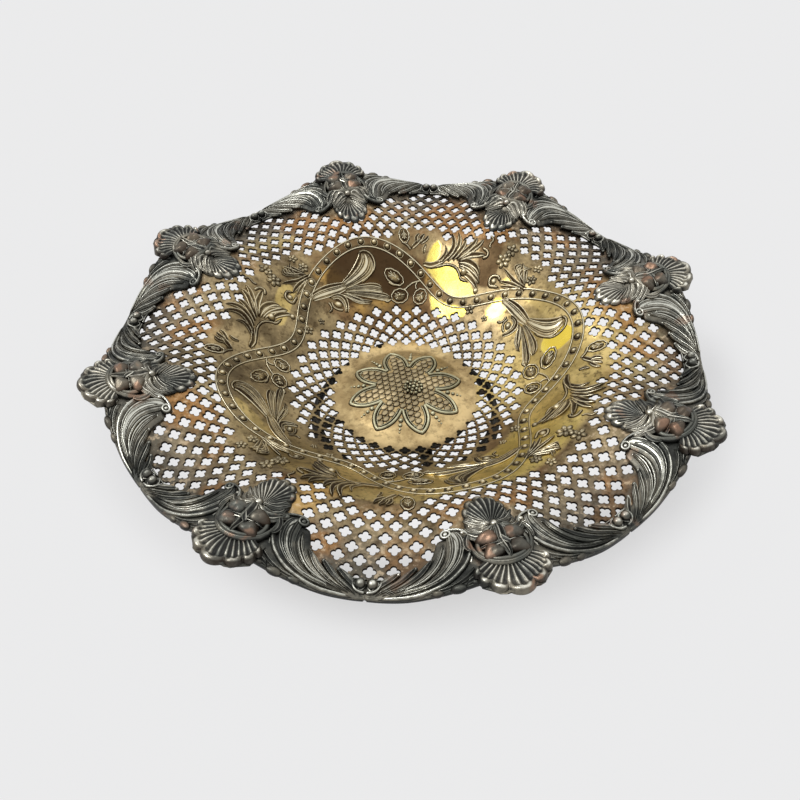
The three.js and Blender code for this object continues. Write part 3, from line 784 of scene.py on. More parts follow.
def trough_cell():
    """Leaves outside the ribbon, between two of its arches. Places are degrees from the trough."""
    # The big spray: a stem off the ribbon, and fronds that fan out from it
    made = [frond(*spine) for spine in (
        ([(21.6, 96.9), (18.4, 96.3), (15.4, 97.7), (12.6, 99.4)], 1.4, 1.3),
        ([(16.2, 97.8), (14.1, 101.2), (13.3, 105), (14.2, 109.2)], 1.1, 0.8),
        ([(14, 99), (11.8, 103), (10.9, 107.6), (11.4, 112), (13, 117.6)], 1.6, 1.3),
        ([(12, 99.6), (10.2, 103.6), (9.2, 108.4), (9.5, 113), (10.8, 118.6)], 1.5, 1.2),
        ([(10, 100.3), (8.3, 104.6), (7.2, 109.4), (7.2, 113.8)], 1.5, 1.3),
        ([(8.6, 100.8), (6, 105.4), (4, 110.6), (3.5, 115.6)], 1.7, 1.5),
        ([(7.4, 101.4), (4.3, 106), (2, 110.8), (1.1, 115.4)], 1.5, 1.3),
        ([(7.4, 100.6), (4, 103.8), (0.6, 105.4), (-1.9, 106.6)], 1.6, 1.4),
        ([(7.6, 99.8), (3.6, 100.3), (0, 98.8), (-2.9, 95.6)], 1.6, 1.3),
        ([(7, 98.6), (3, 98), (-0.6, 96), (-3.4, 93.2)], 1.4, 1.2),
        ([(6.6, 97.6), (2.5, 96.6), (-1, 94), (-4.3, 91.2)], 1.6, 1.4),
        ([(3.4, 93.6), (0.6, 92.4), (-2.2, 90.4), (-4.2, 88)], 1.3, 1.0),
    )]
    made += [
        vein([(-1, 104.2), (-2.5, 106.3), (-1.8, 109), (0.6, 110.2)], 0.7, 0.8),
        vein([(-0.4, 119), (-1.9, 117), (-1.6, 113.6), (-2.2, 111.4)]),
        vein([(20.4, 94.8), (15.6, 96), (11.6, 97.6), (8, 96.6), (5.6, 93.2), (4.4, 90.9), (0.4, 90.2)],
             0.5, 0.5),
        boss(4, 94.5, 2.3, 2.4, sides=16, rings=6),
        boss(-3.9, 87.4, 1.8, 1.1, sides=12, rings=4),
    ]
    # A bud and small fronds between the spray and the arch beside it
    made += bud(29.2, 114.2, 5.2, 3.2, 96)
    made += [
        frond([(26.4, 105.6), (24.6, 109), (22.8, 112.6)], 1.3, 1.0),
        frond([(24.6, 109), (24.9, 113), (23.8, 116.4)], 1.2, 1.0),
        frond([(23.6, 109.6), (23, 113.4), (22, 116)], 1.2, 1.0),
        frond([(23.2, 109), (21.4, 112), (20.6, 115)], 1.1, 0.9),
        vein([(30.2, 109.6), (28, 107.4), (26.6, 104.6)], 0.6, 0.6),
        frond([(21.6, 103), (21.8, 106), (21, 109)], 0.9, 0.7),
    ]
    # Flowers, stems and small leaves on the other side
    made += flower(-8.6, 108.2, 4.6, 6, 1.5) + flower(-9.2, 116.6, 4.2, 5, 1.2)
    made += flower(-21.6, 107.6, 3.4, 6, 1.2) + flower(-20.4, 115.8, 3.2, 5, 1.0)
    made += [
        boss(-9.4, 112.5, 1.5, 1.6, sides=12),
        frond([(-20.4, 102), (-18, 105.6), (-16.2, 109.6), (-14.9, 113.6)], 1.6, 1.3),
        frond([(-20.4, 103.6), (-18.6, 107.2), (-17.6, 111.4)], 1.3, 1.1),
        frond([(-22.4, 102), (-17, 101.6), (-13.6, 102.8), (-10.4, 104.4)], 1.1, 1.0),
        frond([(-22.4, 100.6), (-17, 99.8), (-13.6, 98.4), (-11.4, 97)], 1.1, 1.0),
        frond([(-20, 99.6), (-16.4, 97.6), (-12.8, 95.4)], 1.0, 0.8),
        vein([(-11.9, 97.4), (-9.8, 99.3), (-7.7, 97.7), (-7.5, 95), (-8.6, 92.9), (-10.4, 93.7),
              (-12.4, 94.6)], 0.65, 0.8),
        boss(-9.2, 96.2, 1.9, 0.8, sides=12, rings=4),
    ]
    # A curled leaf beside the ribbon
    for k in range(4):
        made.append(frond([(-21 + 1.1 * k, 103 + 0.4 * k), (-17.4 + 1.1 * k, 105 + k), (-16.8 + k, 109.6),
                           (-18.6 + 1.2 * k, 114 - 0.5 * k)], 0.9, 0.9))
    return made


def chased_leaves():
    trough = joined(trough_cell()).turned(180 / QUARTERS)
    return around(joined(crest_cell() + [trough]), QUARTERS)


# Cast border and shell cartouches, drawn round the ridge that runs along +X. A plan point (x, y) lies
# x out from the middle of the bowl and y to the side of the ridge.

CASTING_GAP = 0.35  # between the sheet and the castings on it
SADDLE = 1.7  # how much higher a cartouche lies where it crosses the border
BORDER_OUTER = 172.5
BORDER_INNER = 161.5
SCROLL_REACH = 19
SCROLL_SWELL = 0.6
LOBE_MIDDLE = 22.5
# How far the border's two edges swell with the scrolls: degrees from the ridge, share of the full swell
SCROLL_INSIDE = [
    (0, 0.6), (4, 0.6), (6, 0.9), (8, 1), (10.4, 0.95), (12, 0.5), (14.5, 0.2), (18, 0), (22.5, 0),
]
SCROLL_OUTSIDE = [(0, -0.6), (5, 0), (8, 1), (12, 0.6), (16, 0), (22.5, -0.4)]
# The cartouche's outline, as distances in from its tip and half widths
CARTOUCHE_OUTLINE = [
    (5, 12), (9.5, 17), (14, 17), (18, 13), (22, 11.8), (28, 12.2), (35, 11.2), (39, 8.4), (43, 7.6),
    (48, 10), (53.5, 9), (58, 5), (60.6, 2),
]


def seat(x):
    """Height of the underside of a cartouche over the sheet: higher where it lies on the border."""
    step = ramp(x, TIP_RADIUS - 39.5, 2)
    return CASTING_GAP + (SADDLE + CASTING_GAP) * step * step * (3 - 2 * step)


def border_edges(degrees):
    """Inner and outer radius of the border's ground at angles from the ridge."""
    inner = BORDER_INNER - SCROLL_REACH * smooth_curve(SCROLL_INSIDE, degrees) + 0.9
    return inner, BORDER_OUTER + SCROLL_SWELL * smooth_curve(SCROLL_OUTSIDE, degrees) - 0.9


def border_surface(plan):
    """Upper face of the border's ground: rounded across, full under the scroll leaves."""
    radius, angle = radius_angle(plan)
    degrees = np.abs(np.degrees(angle))
    inner, outer = border_edges(np.minimum(degrees, LOBE_MIDDLE))
    share = ramp(radius, inner, outer - inner)
    full = smooth_curve([(0, 0.5), (5, 1.7), (9, 2), (14, 1.7), (22.5, 1.2)], degrees)
    return top_at(plan) + CASTING_GAP + 0.8 + full * np.sin(np.pi * (0.08 + 0.84 * share)) ** 0.8


def cartouche_half_width(inset):
    return np.interp(inset, *np.array(CARTOUCHE_OUTLINE, float).T)


def cartouche_surface(plan):
    """Upper face of a cartouche's ground: domed across, sunk inside the oval, low under the fan."""
    x, y = plan[..., 0], plan[..., 1]
    across = np.clip(np.abs(y) / cartouche_half_width(TIP_RADIUS - x), 0, 1)
    recess = np.clip(1.25 - np.hypot(y / 9.4, (x - 156) / 7.2), 0, 1)
    fan = ramp(x, 141, 3) * ramp(-x, -170, 5)
    return top_at(plan) + seat(x) + 0.5 + 1.1 * fan + (0.6 + 1.0 * fan) * (1 - across**2) - 0.9 * recess


def shell_surface(plan):
    """What the shell lies on; past its seat it stands out level from there."""
    held = plan * np.minimum(1, 171 / radius_angle(plan)[0])[..., None]
    return top_at(held) + seat(held[..., 0]) + 1.4


def fan_surface(plan):
    return top_at(plan) + CASTING_GAP + 0.2


def casting_ground(plan, top, gap, wear_and_sheen):
    """A casting's ground over plan points, from its upper face down to a gap over the sheet."""
    section = slab(raised(plan, top), raised(plan, top_at(plan) + gap))
    return tube(section, slab(wear_and_sheen + 0 * top, 0.3 + 0 * top))


def border_ground():
    """The ground of half a border length, from the ridge to a lobe's middle."""
    degrees = np.linspace(0, LOBE_MIDDLE - 0.03, 61)
    share = np.linspace(0, 1, 21)
    inner, outer = border_edges(degrees)
    radius = inner[:, None] * (1 - share) + outer[:, None] * share
    plan = on_circle(np.radians(degrees)[:, None], radius)
    return casting_ground(plan, border_surface(plan), CASTING_GAP, 0.4)


def cartouche_ground():
    inset = np.concatenate([np.linspace(2.6, 20, 16), np.linspace(21, 60.8, 34)])
    half = cartouche_half_width(inset) * ramp(inset, 1.2, 3) ** 0.5 - 0.5
    share = np.linspace(-1, 1, 25)
    plan = np.stack([TIP_RADIUS - inset[:, None] + 0 * share, half[:, None] * share], -1)
    return casting_ground(plan, cartouche_surface(plan), seat(plan[..., 0]), 0.35)


def fluted(centre, way, reach, edges, ribs, profile, roll, surface, stain, rib_rise):
    """A fan of flutes that ends in a scalloped edge. It spreads from a centre on the ridge, outwards
    for way 1 and inwards for -1. edges are the angles between its lobes on one side, in degrees, reach
    gives its length by angle, and profile the height over the surface along the flutes. roll is how
    far its lip stands up, stain how brown that is, and rib_rise how high the ribs are."""
    span, steps = edges[-1], 168
    phi = np.linspace(-span, span, steps + 1)[:, None]
    out = np.concatenate([np.linspace(0.05, 0.8, 12), [0.84, 0.87, 0.9, 0.93, 0.955, 0.975, 0.99, 1.0]])
    bounds = [-e for e in edges[::-1]] + edges
    scallop = np.maximum(np.sin(np.pi * (np.interp(phi, bounds, range(len(bounds))) % 1)), 0) ** 0.55
    wander = 3.2 * out * np.sin(4.6 * out + phi / 15)
    rib = np.abs(np.sin(np.pi * ribs * (phi + wander + span) / (2 * span))) ** 2
    length = out * smooth_curve(reach, np.abs(phi)) * (0.9 + 0.1 * scallop)
    plan = on_circle(np.radians(phi), way * length) + np.array([centre, 0])
    lip = ramp(out, 0.8, 0.1)
    low_ribs = (0.25 + 0.75 * out) * (1 - lip) * rib_rise * rib
    rise = smooth_curve(profile, out) + low_ribs + lip * np.sqrt(1 - out**8 + 0.02) * roll * scallop
    base = surface(plan)
    section = slab(raised(plan, base + np.maximum(rise, 0.3)), raised(plan, base - 0.2))
    wear_and_sheen = (1 - lip) * (0.2 + 0.8 * rib**3) + lip * (0.15 + 0.2 * scallop)
    wear_and_sheen = np.where((out > 0.85) & (out < 0.95), wear_and_sheen + 0.6 * scallop, wear_and_sheen)
    return tube(section, slab(wear_and_sheen, 0.3 + 0 * wear_and_sheen), slab(stain * lip + 0 * rise, 0 * rise))


def fluted_leaf(outer, inner, ribs, body, crown, lift=-0.2, steps=34, per=8, base=border_surface, tip=0.0,
                pale=0.35):
    """A leaf that is one body with ribs along it, spread between the paths of its two edges. body is
    its rise in the middle, crown that of its ribs, tip how far its end turns up, and pale how much
    its edges are rubbed."""
    u = np.linspace(0, 1, steps)[:, None]
    v = np.linspace(0, 1, ribs * per + 1)
    a, b = along(outer, steps), along(inner, steps)
    plan = a[:, None] * (1 - v)[None, :, None] + b[:, None] * v[None, :, None]
    full = np.sqrt(ramp(u, 0, 0.12) * ramp(-u, -1, 0.14))
    uneven = v + 0.32 / ribs * np.sin(2 * np.pi * v * ribs / 2.3)
    ridge = np.abs(np.sin(np.pi * uneven * ribs)) ** 1.3
    edge = np.abs(2 * v - 1) > 1 - 3 / (ribs * per)
    crests = crown * ridge * (0.7 + 0.3 * np.cos(4.1 * v * ribs))
    rise = body * np.sin(np.pi * v) ** 0.6 + crests + 0.3 * edge
    ground = base(plan) + lift
    top = ground + 0.15 + rise * full + tip * ramp(u, 0.8, 0.2) ** 2
    section = slab(raised(plan, top), raised(plan, ground - 0.4))
    row, column = plan[steps // 2 + 1, 1] - plan[steps // 2, 1], plan[steps // 2, 2] - plan[steps // 2, 1]
    wear_and_sheen = (0.24 + 0.9 * ridge**3 * (0.6 + 0.4 * np.sin(np.pi * v)) + pale * edge) * (0.5 + 0.5 * full)
    return tube(section, slab(wear_and_sheen, 0.2 + 0 * wear_and_sheen), flip=row[0] * column[1] > row[1] * column[0])


def by_joint(distance, radius):
    """Plan point at a distance from the joint, measured along the border."""
    return on_circle(math.radians(LOBE_MIDDLE) - distance / radius, radius)


def border_half():
    """Scroll leaves, curls, beads and wires of half a border length. Places are degrees from the ridge
    and radius."""
    made = [border_ground()]
    # Leaves that flow from the joint, each from its outer edge to its inner one, to a curled tip
    for outer, inner, ribs, body in (
        ([(19.4, 171), (14, 170), (9.8, 166.8), (7, 161.2), (5.5, 154.6), (5.1, 148.4), (5.8, 143.4),
          (7.6, 140.8)],
         [(19, 169.6), (14.6, 167.4), (11.6, 163), (9.9, 157.4), (9.2, 151.6), (9, 146.8), (8.8, 143.8),
          (8.4, 141.8)], 6, 1.5),
        ([(19, 169.8), (14.8, 167.3), (11.9, 162.8), (10.2, 157), (9.5, 151.4), (9.5, 147)],
         [(18.6, 168.8), (15.6, 165.8), (13.2, 161.2), (11.7, 156.4), (10.8, 152), (10, 147.4)], 3, 1.1),
        ([(20, 170), (16.8, 166.9), (14, 162.2), (12.5, 157.4), (11.7, 153.8)],
         [(19.8, 169), (17.4, 165.6), (15.3, 161), (13.8, 157.2), (12.4, 154)], 3, 1.0),
        ([(21, 170.2), (18.6, 166.8), (16.4, 162.4), (15, 158.6), (14.4, 156.2)],
         [(20.9, 169.2), (19.2, 165.4), (17.6, 161.6), (16.3, 158.2), (15, 156.2)], 3, 0.9),
        ([(21.7, 170.2), (20.4, 166.8), (18.9, 163), (17.7, 160), (17.2, 158.2)],
         [(22.1, 169.2), (21.3, 165.6), (20.3, 162.3), (19.2, 159.8), (17.9, 158)], 3, 0.8),
    ):
        made.append(fluted_leaf(polar(*outer), polar(*inner), ribs, body, 0.95, tip=0.8))
    # The rib that edges the great leaf, and thin ones over it
    for path, half, crown in (
        ([(20.6, 171.4), (15, 171.2), (10.4, 168.4), (7.4, 163.2), (5.7, 157), (4.9, 150.8), (4.9, 145.4),
          (6, 141.2), (8.2, 139.4), (9.8, 140.2)], 1.0, 2.0),
        ([(17, 169.3), (12, 166.9), (9.1, 161.6), (7.7, 154.8), (7.3, 148.6), (7.8, 144)], 0.55, 2.9),
        ([(16.6, 168.2), (13.4, 165), (11.3, 160), (10.1, 154.6), (9.7, 150)], 0.6, 2.5),
    ):
        halves, crowns = [half * 0.7, half, half, half * 0.7], [crown * 0.7, crown, crown * 0.8]
        made.append(stroke(polar(*path), halves, crowns, [0.1], steps=44, sides=11, ends=(0.05, 0.08),
                           lean=-0.3, depth=0.9, base=border_surface))
    # Rolled tips
    x, y = polar((8.9, 141.7))[0]
    made.append(ring_stroke(x, y, 1.9, 2.1, 0.75, 1.3, 2.5, steps=20))
    made.append(dome(x, y, 1.3, 1.2, lift=2.6, sides=12, low=-0.6))
    for degrees, radius, size in (
        (9.7, 147.4, 1.25), (12, 154, 1.2), (14.7, 156.4, 1.2), (17.5, 158.4, 1.15),
    ):
        made.append(boss(degrees, radius, size, size, lift=1.5, sides=11, low=-1))
    # Leaves behind the scroll, beside the shell, and the low bumps along the edge
    for outer, inner in (
        ([(13.6, 171.6), (10, 171.4), (7.4, 169.4), (5.4, 166)],
         [(13, 170.6), (9.6, 169.2), (7.2, 166.4), (5.6, 163)]),
        ([(7.4, 171.4), (5.8, 169.8), (4.8, 167)], [(7, 168.8), (5.6, 166.4), (4.8, 163.6)]),
    ):
        made.append(fluted_leaf(polar(*outer), polar(*inner), 3, 0.8, 0.9, steps=20))
    for degrees, radius, wide, high, turn in (
        (8.5, 171.5, 4, 2.6, 4), (11.6, 171.4, 3.1, 2.3, 4), (6, 170.6, 2, 1.9, 8), (14, 171, 1.8, 1.6, 3),
    ):
        bump = boss(degrees, radius, wide, high, lift=1.5, sides=20, rings=8, low=-1, squash=0.52,
                    turn=90 + degrees + turn, stain=0.5)
        made.append(bump.rubbed_and_glints(0.7))
    # Wires along both edges
    wire = polar((4.6, 170.9), (8, 171.3), (12, 171.3), (16, 171.3), (20, 170.9), (22.49, 170.7))
    wire = stroke(wire, [0.9], [1.5], [0.5], depth=1.2, steps=40, sides=12, ends=(0.02, 0.0005))
    made.append(wire.rubbed_and_glints(0.75))
    wire = polar((18, 160), (19.2, 160.8), (20.6, 161.2), (22.49, 161.1))
    made.append(stroke(wire, [0.5], [1.2], [0.7], steps=20, sides=9, ends=(0.05, 0.0005)))
    # A hood over the joint, and the pair of beads under it
    hood = [by_joint(6.4, 162.2), by_joint(5.9, 165.6), by_joint(3.8, 168), by_joint(0.02, 168.8)]
    made.append(stroke(hood, [0.7, 0.9, 0.9], [1.4, 1.6, 1.4], [0.2], steps=18, ends=(0.1, 0.0005),
                       lean=-0.4, base=border_surface))
    made.append(ring_stroke(*by_joint(3.1, 165), 3.3, 2.6, 0.45, 0.8, 0.3, steps=20, sides=8,
                            base=border_surface))
    made.append(dome(*by_joint(2.75, 164.9), 2.6, 2.4, lift=1.9, sides=18, rings=7, low=-1, stain=0.3,
                     base=border_surface))
    return made


def cartouche_half():
    """The parts of a cartouche on one side of its ridge."""
    made = []
    # Fruit in the oval
    for x, wide in ((160.2, 5.2), (152, 5.3)):
        fruit = dome(x, 6, wide, 3.5, lift=0.7, sides=24, rings=8, stain=1.1, squash=0.82, turn=82,
                     lumpy=0.13, base=cartouche_surface)
        made.append(fruit.rubbed_and_glints(0.7))
    # Scrolled leaves of the calyx
    for path, half, crown, height in (
        ([(146, 1.6), (149.8, 5), (149.6, 9.6), (146, 13.4), (141.6, 16)], 2.0, 1.7, 0.5),
        ([(145, 1.2), (147.6, 4.6), (147, 8.6), (143.8, 11.6), (139.8, 13.4)], 1.8, 1.5, 0.4),
        ([(144, 1.6), (145.4, 4.6), (144.6, 7.8), (141.8, 10.2), (138.4, 11)], 1.6, 1.4, 0.4),
        ([(143.4, 1.2), (142, 5.4), (139.2, 9), (136, 12.2)], 1.5, 1.3, 1.3),
        ([(142, 2.2), (140, 5.4), (137.2, 8), (134.6, 9.8)], 1.3, 1.2, 1.2),
        ([(145.8, 12.6), (148.8, 15), (152.6, 16), (156, 15)], 1.3, 1.2, 0.9),
    ):
        made.append(blade(path, half, crown, 3, 22, height, 0.5, cartouche_surface))
    made.append(dome(142.6, 14.6, 1.4, 1.6, lift=2.4, sides=12, low=-1))
    # Small leaf between the oval and the scroll beside it
    for k in range(4):
        path = [(147.5 + 2.2 * k, 11.4 + 0.8 * k), (150.8 + 2.2 * k, 13.5 + 0.5 * k),
                (154.4 + 2 * k, 13.2 + 1.1 * k)]
        made.append(stroke(path, [0.6, 1.0, 0.5], [0.9, 1.4, 0.9], [2.2], steps=12, sides=9, lean=0.3))
    return made


SHELL_REACH = [(0, 23.7), (16, 23.2), (34, 22.2), (56, 21.4), (74, 18.5)]
SHELL_EDGES = [18, 42, 60, 74]
SHELL_PROFILE = [(0, 0.5), (0.4, 1.2), (0.7, 1.5), (0.82, 1.1), (0.9, 1.2), (0.96, 1.0), (1, 0.2)]
FAN_REACH = [(0, 22), (18, 20.6), (38, 17), (60, 13.6), (84, 11.6)]
FAN_EDGES = [9, 27, 46, 84]
FAN_PROFILE = [(0, 0.5), (0.4, 1.1), (0.8, 1.5), (0.9, 1.1), (1, 0.2)]
BOW_SIDE = [(148.4, 13.8), (154, 14.2), (160, 12.4), (165.6, 7.6)]


def shell_cartouche():
    """One whole cartouche: shell and fan, oval and the bow round it, fruit, and sprays between them."""
    on_it = {"base": cartouche_surface}
    bow = [(x, -y) for x, y in BOW_SIDE] + [(167.6, 0)] + BOW_SIDE[::-1]
    bow = stroke(bow, [0.6, 1.2, 1.3, 1.2, 0.6], [1.0, 1.5, 1.7, 1.5, 1.0], [0.6], steps=44, depth=1.2,
                 lean=0.3, **on_it)
    made = [
        cartouche_ground(),
        fluted(160, 1, SHELL_REACH, SHELL_EDGES, 14, SHELL_PROFILE, roll=2.8, surface=shell_surface,
               stain=0.6, rib_rise=0.9),
        fluted(143.4, -1, FAN_REACH, FAN_EDGES, 18, FAN_PROFILE, roll=0.9, surface=fan_surface,
               stain=0.1, rib_rise=1.1),
        ring_stroke(156, 0, 9.6, 11.6, 1.15, 1.5, 0.6, **on_it).rubbed_and_glints(0.75),
        bow.rubbed_and_glints(0.8),
    ]
    for path, half, crown, ribs, count, height, tip in (
        ([(145.6, 0), (150, 0.3), (155, -0.2), (160, 0.2), (166.4, 0)], 2.3, 2.6, 3, 30, 0.9, 0.4),
        ([(156.2, -11), (156.8, -5), (156.2, 0), (155.7, 5), (156.2, 11)], 0.9, 1.6, 2, 26, 1.2, 0),
        ([(158.4, 2.6), (156, 0.6), (152.6, -1.2)], 1.1, 1.7, 2, 12, 2.0, 0.4),
    ):
        made.append(blade(path, half, crown, ribs, count, height, tip, **on_it))
    made.append(dome(144.6, 0, 2.3, 2.4, lift=1.2, rings=6, stain=0.4, **on_it))
    return joined(made + [both_sides(cartouche_half())])


# Foot: collar, band and brackets

def spun(section):
    """A ring spun from its closed section of (radius, height) points."""
    radius, height = np.array(section, float).T
    t = turns(144)[:, None]
    points = raised(on_circle(t, radius), height + 0 * t)
    return tube(np.concatenate([points, points[:1]]), 0.5, flip=True)


def hollow_curve(top, low):
    """Points down a hollow curve from an upper edge to a wider lower edge."""
    t = np.linspace(0, 1, 9)[:, None]
    top, low = np.array(top, float), np.array(low, float)
    bend = np.array([top[0], (top[1] + low[1]) / 2])
    return ((1 - t) ** 2 * top + 2 * t * (1 - t) * bend + t**2 * low).tolist()


def half_round(radius, height, size, first, last, count=7):
    """Points round a bead, between two angles in degrees."""
    return (on_circle(np.radians(np.linspace(first, last, count)), size) + [radius, height]).tolist()


def foot_collar():
    return spun([(38, 20), (38, 18.9)] + hollow_curve((39.8, 17.8), (41.7, 13.5))
                + half_round(43.2, 14.2, 0.75, -70, 70)
                + hollow_curve((41.8, 19.4), (43.3, 14.9))[::-1] + [(41.5, 19.98)])


def foot_band():
    return spun(hollow_curve((55, 8.55), (56.5, 0)) + half_round(59.7, 1.3, 1.3, -90, 60, 10)
                + half_round(59.0, 3.0, 0.5, -40, 60, 5)
                + hollow_curve((57.2, 8.2), (58.7, 3.6))[::-1] + [(56.8, 8.57)])


def foot_bracket():
    """Scroll bracket with three reeds, and a rolled end on the band."""
    outer_end, inner_end = 58.4, 40.6
    radius = np.linspace(outer_end, inner_end, 29)[:, None]
    across = np.linspace(-1, 1, 25)
    waist = 4.9 - 1.3 * np.sin(np.pi * (outer_end - radius) / (outer_end - inner_end))
    reeded = 0.35 * np.abs(np.cos(1.5 * np.pi * across)) + 1.9 * (1 - across**6)
    underside = [(40.4, 10.45), (44, 10.45), (50.6, 8.35), (55, 8.95), (58.6, 8.95)]
    low = smooth_curve(underside, radius) + 0 * across
    plan = np.stack([radius + 0 * across, waist * across], -1)
    section = slab(raised(plan, low + 0.3 + reeded), raised(plan, low))
    strap = tube(section, slab(0.2 + 0.6 * reeded / 2.3 + 0 * low, 0.4 + 0 * low))
    t = turns(18)
    reach = np.array([0.0, 1.2, 1.75, 1.55, 1.75, 1.55, 1.75, 1.2, 0.0])[:, None]
    side = np.array([-4.5, -4.4, -3.9, -1.8, 0, 1.8, 3.9, 4.4, 4.5])[:, None]
    roll = np.stack([56.5 + reach * np.cos(t), side + 0 * t, 11.7 + reach * np.sin(t)], -1)
    return joined([strap, tube(roll, 0.6)])


# Finishes

class Wire:
    """An output of a shader node that takes part in arithmetic; each sum adds its Math node."""

    def __init__(self, look, socket):
        self.look, self.socket = look, socket

    def __add__(self, other):
        return self.look.maths("ADD", self, other)

    __radd__ = __add__

    def __mul__(self, other):
        return self.look.maths("MULTIPLY", self, other)

    __rmul__ = __mul__

    def __sub__(self, other):
        return self.look.maths("SUBTRACT", self, other)

    def __rsub__(self, other):
        return self.look.maths("SUBTRACT", other, self)


CUT_LINES = (0.34, 0.63)  # places of the two thin lines across a stroke


class Look:
    """The nodes of a material, or of the world, and the ways to add to them."""

    def __init__(self, name, kind="Material"):
        self.kind = kind
        self.owner = (bpy.data.materials if kind == "Material" else bpy.data.worlds).new(name)
        self.owner.use_nodes = True
        self.tree = self.owner.node_tree
        self.tree.nodes.clear()

    def node(self, kind, settings, sockets, output=0):
        """Adds a node: its settings first, then the values or links of its sockets."""
        node = self.tree.nodes.new("ShaderNode" + kind)
        for key, value in settings.items():
            setattr(node, key, value)
        for key, value in sockets.items():
            if isinstance(value, Wire):
                self.tree.links.new(value.socket, node.inputs[key])
            else:
                node.inputs[key].default_value = value
        return Wire(self, node.outputs[output]) if output is not None else None

    def maths(self, operation, a, b, clamp=False):
        return self.node("Math", {"operation": operation, "use_clamp": clamp}, {0: a, 1: b})

    def clamped(self, a):
        return self.maths("ADD", a, 0.0, clamp=True)

    def mark(self, name):
        return self.node("Attribute", {"attribute_name": name}, {}, "Fac")

    def place(self):
        return self.node("TexCoord", {}, {}, "Object")

    def noise(self, scale, detail=4.0, roughness=0.6):
        return self.node("TexNoise", {}, {
            "Vector": self.place(), "Scale": scale, "Detail": detail, "Roughness": roughness,
        }, "Fac")

    def between(self, value, low, high):
        """0 below low, 1 above high, smooth in between."""
        return self.node("MapRange", {"interpolation_type": "SMOOTHSTEP"}, {
            "Value": value, "From Min": low, "From Max": high,
        })

    def mix(self, factor, first, second):
        """A colour mix. Its colours go in at sockets 6 and 7 and come out at 2."""
        colours = {6: first, 7: second}
        colours = {k: v if isinstance(v, Wire) else (*v, 1) for k, v in colours.items()}
        return self.node("Mix", {"data_type": "RGBA"}, {0: factor, **colours}, 2)

    def coats(self, colour, *coats):
        """Coats of colour laid over a first one, each where its mask is 1."""
        for mask, coat in coats:
            colour = self.mix(mask, colour, coat)
        return colour

    def length(self, vector):
        return self.node("VectorMath", {"operation": "LENGTH"}, {0: vector}, "Value")

    def radius(self):
        """Distance from the bowl's axis in metres."""
        flat = self.node("VectorMath", {"operation": "MULTIPLY"}, {0: self.place(), 1: (1, 1, 0)})
        return self.length(flat)

    def engraved(self):
        """1 on the thin lines cut along every stroke, 0 elsewhere."""
        across = self.mark("across")
        lines = 0.0
        for place in CUT_LINES:
            off = self.maths("ABSOLUTE", across - place, 0.0)
            lines = lines + (1 - self.between(off, 0.015, 0.05))
        return self.clamped(lines)

    def finish(self, colour, metallic, roughness, bump, strength, distance):
        normal = self.node("Bump", {}, {
            "Height": bump, "Strength": strength, "Distance": distance,
        }, "Normal")
        sockets = {"Base Color": colour, "Metallic": metallic, "Roughness": roughness, "Normal": normal}
        return self.show(self.node("BsdfPrincipled", {}, sockets))

    def show(self, surface):
        self.node("Output" + self.kind, {}, {"Surface": surface}, None)
        return self.owner


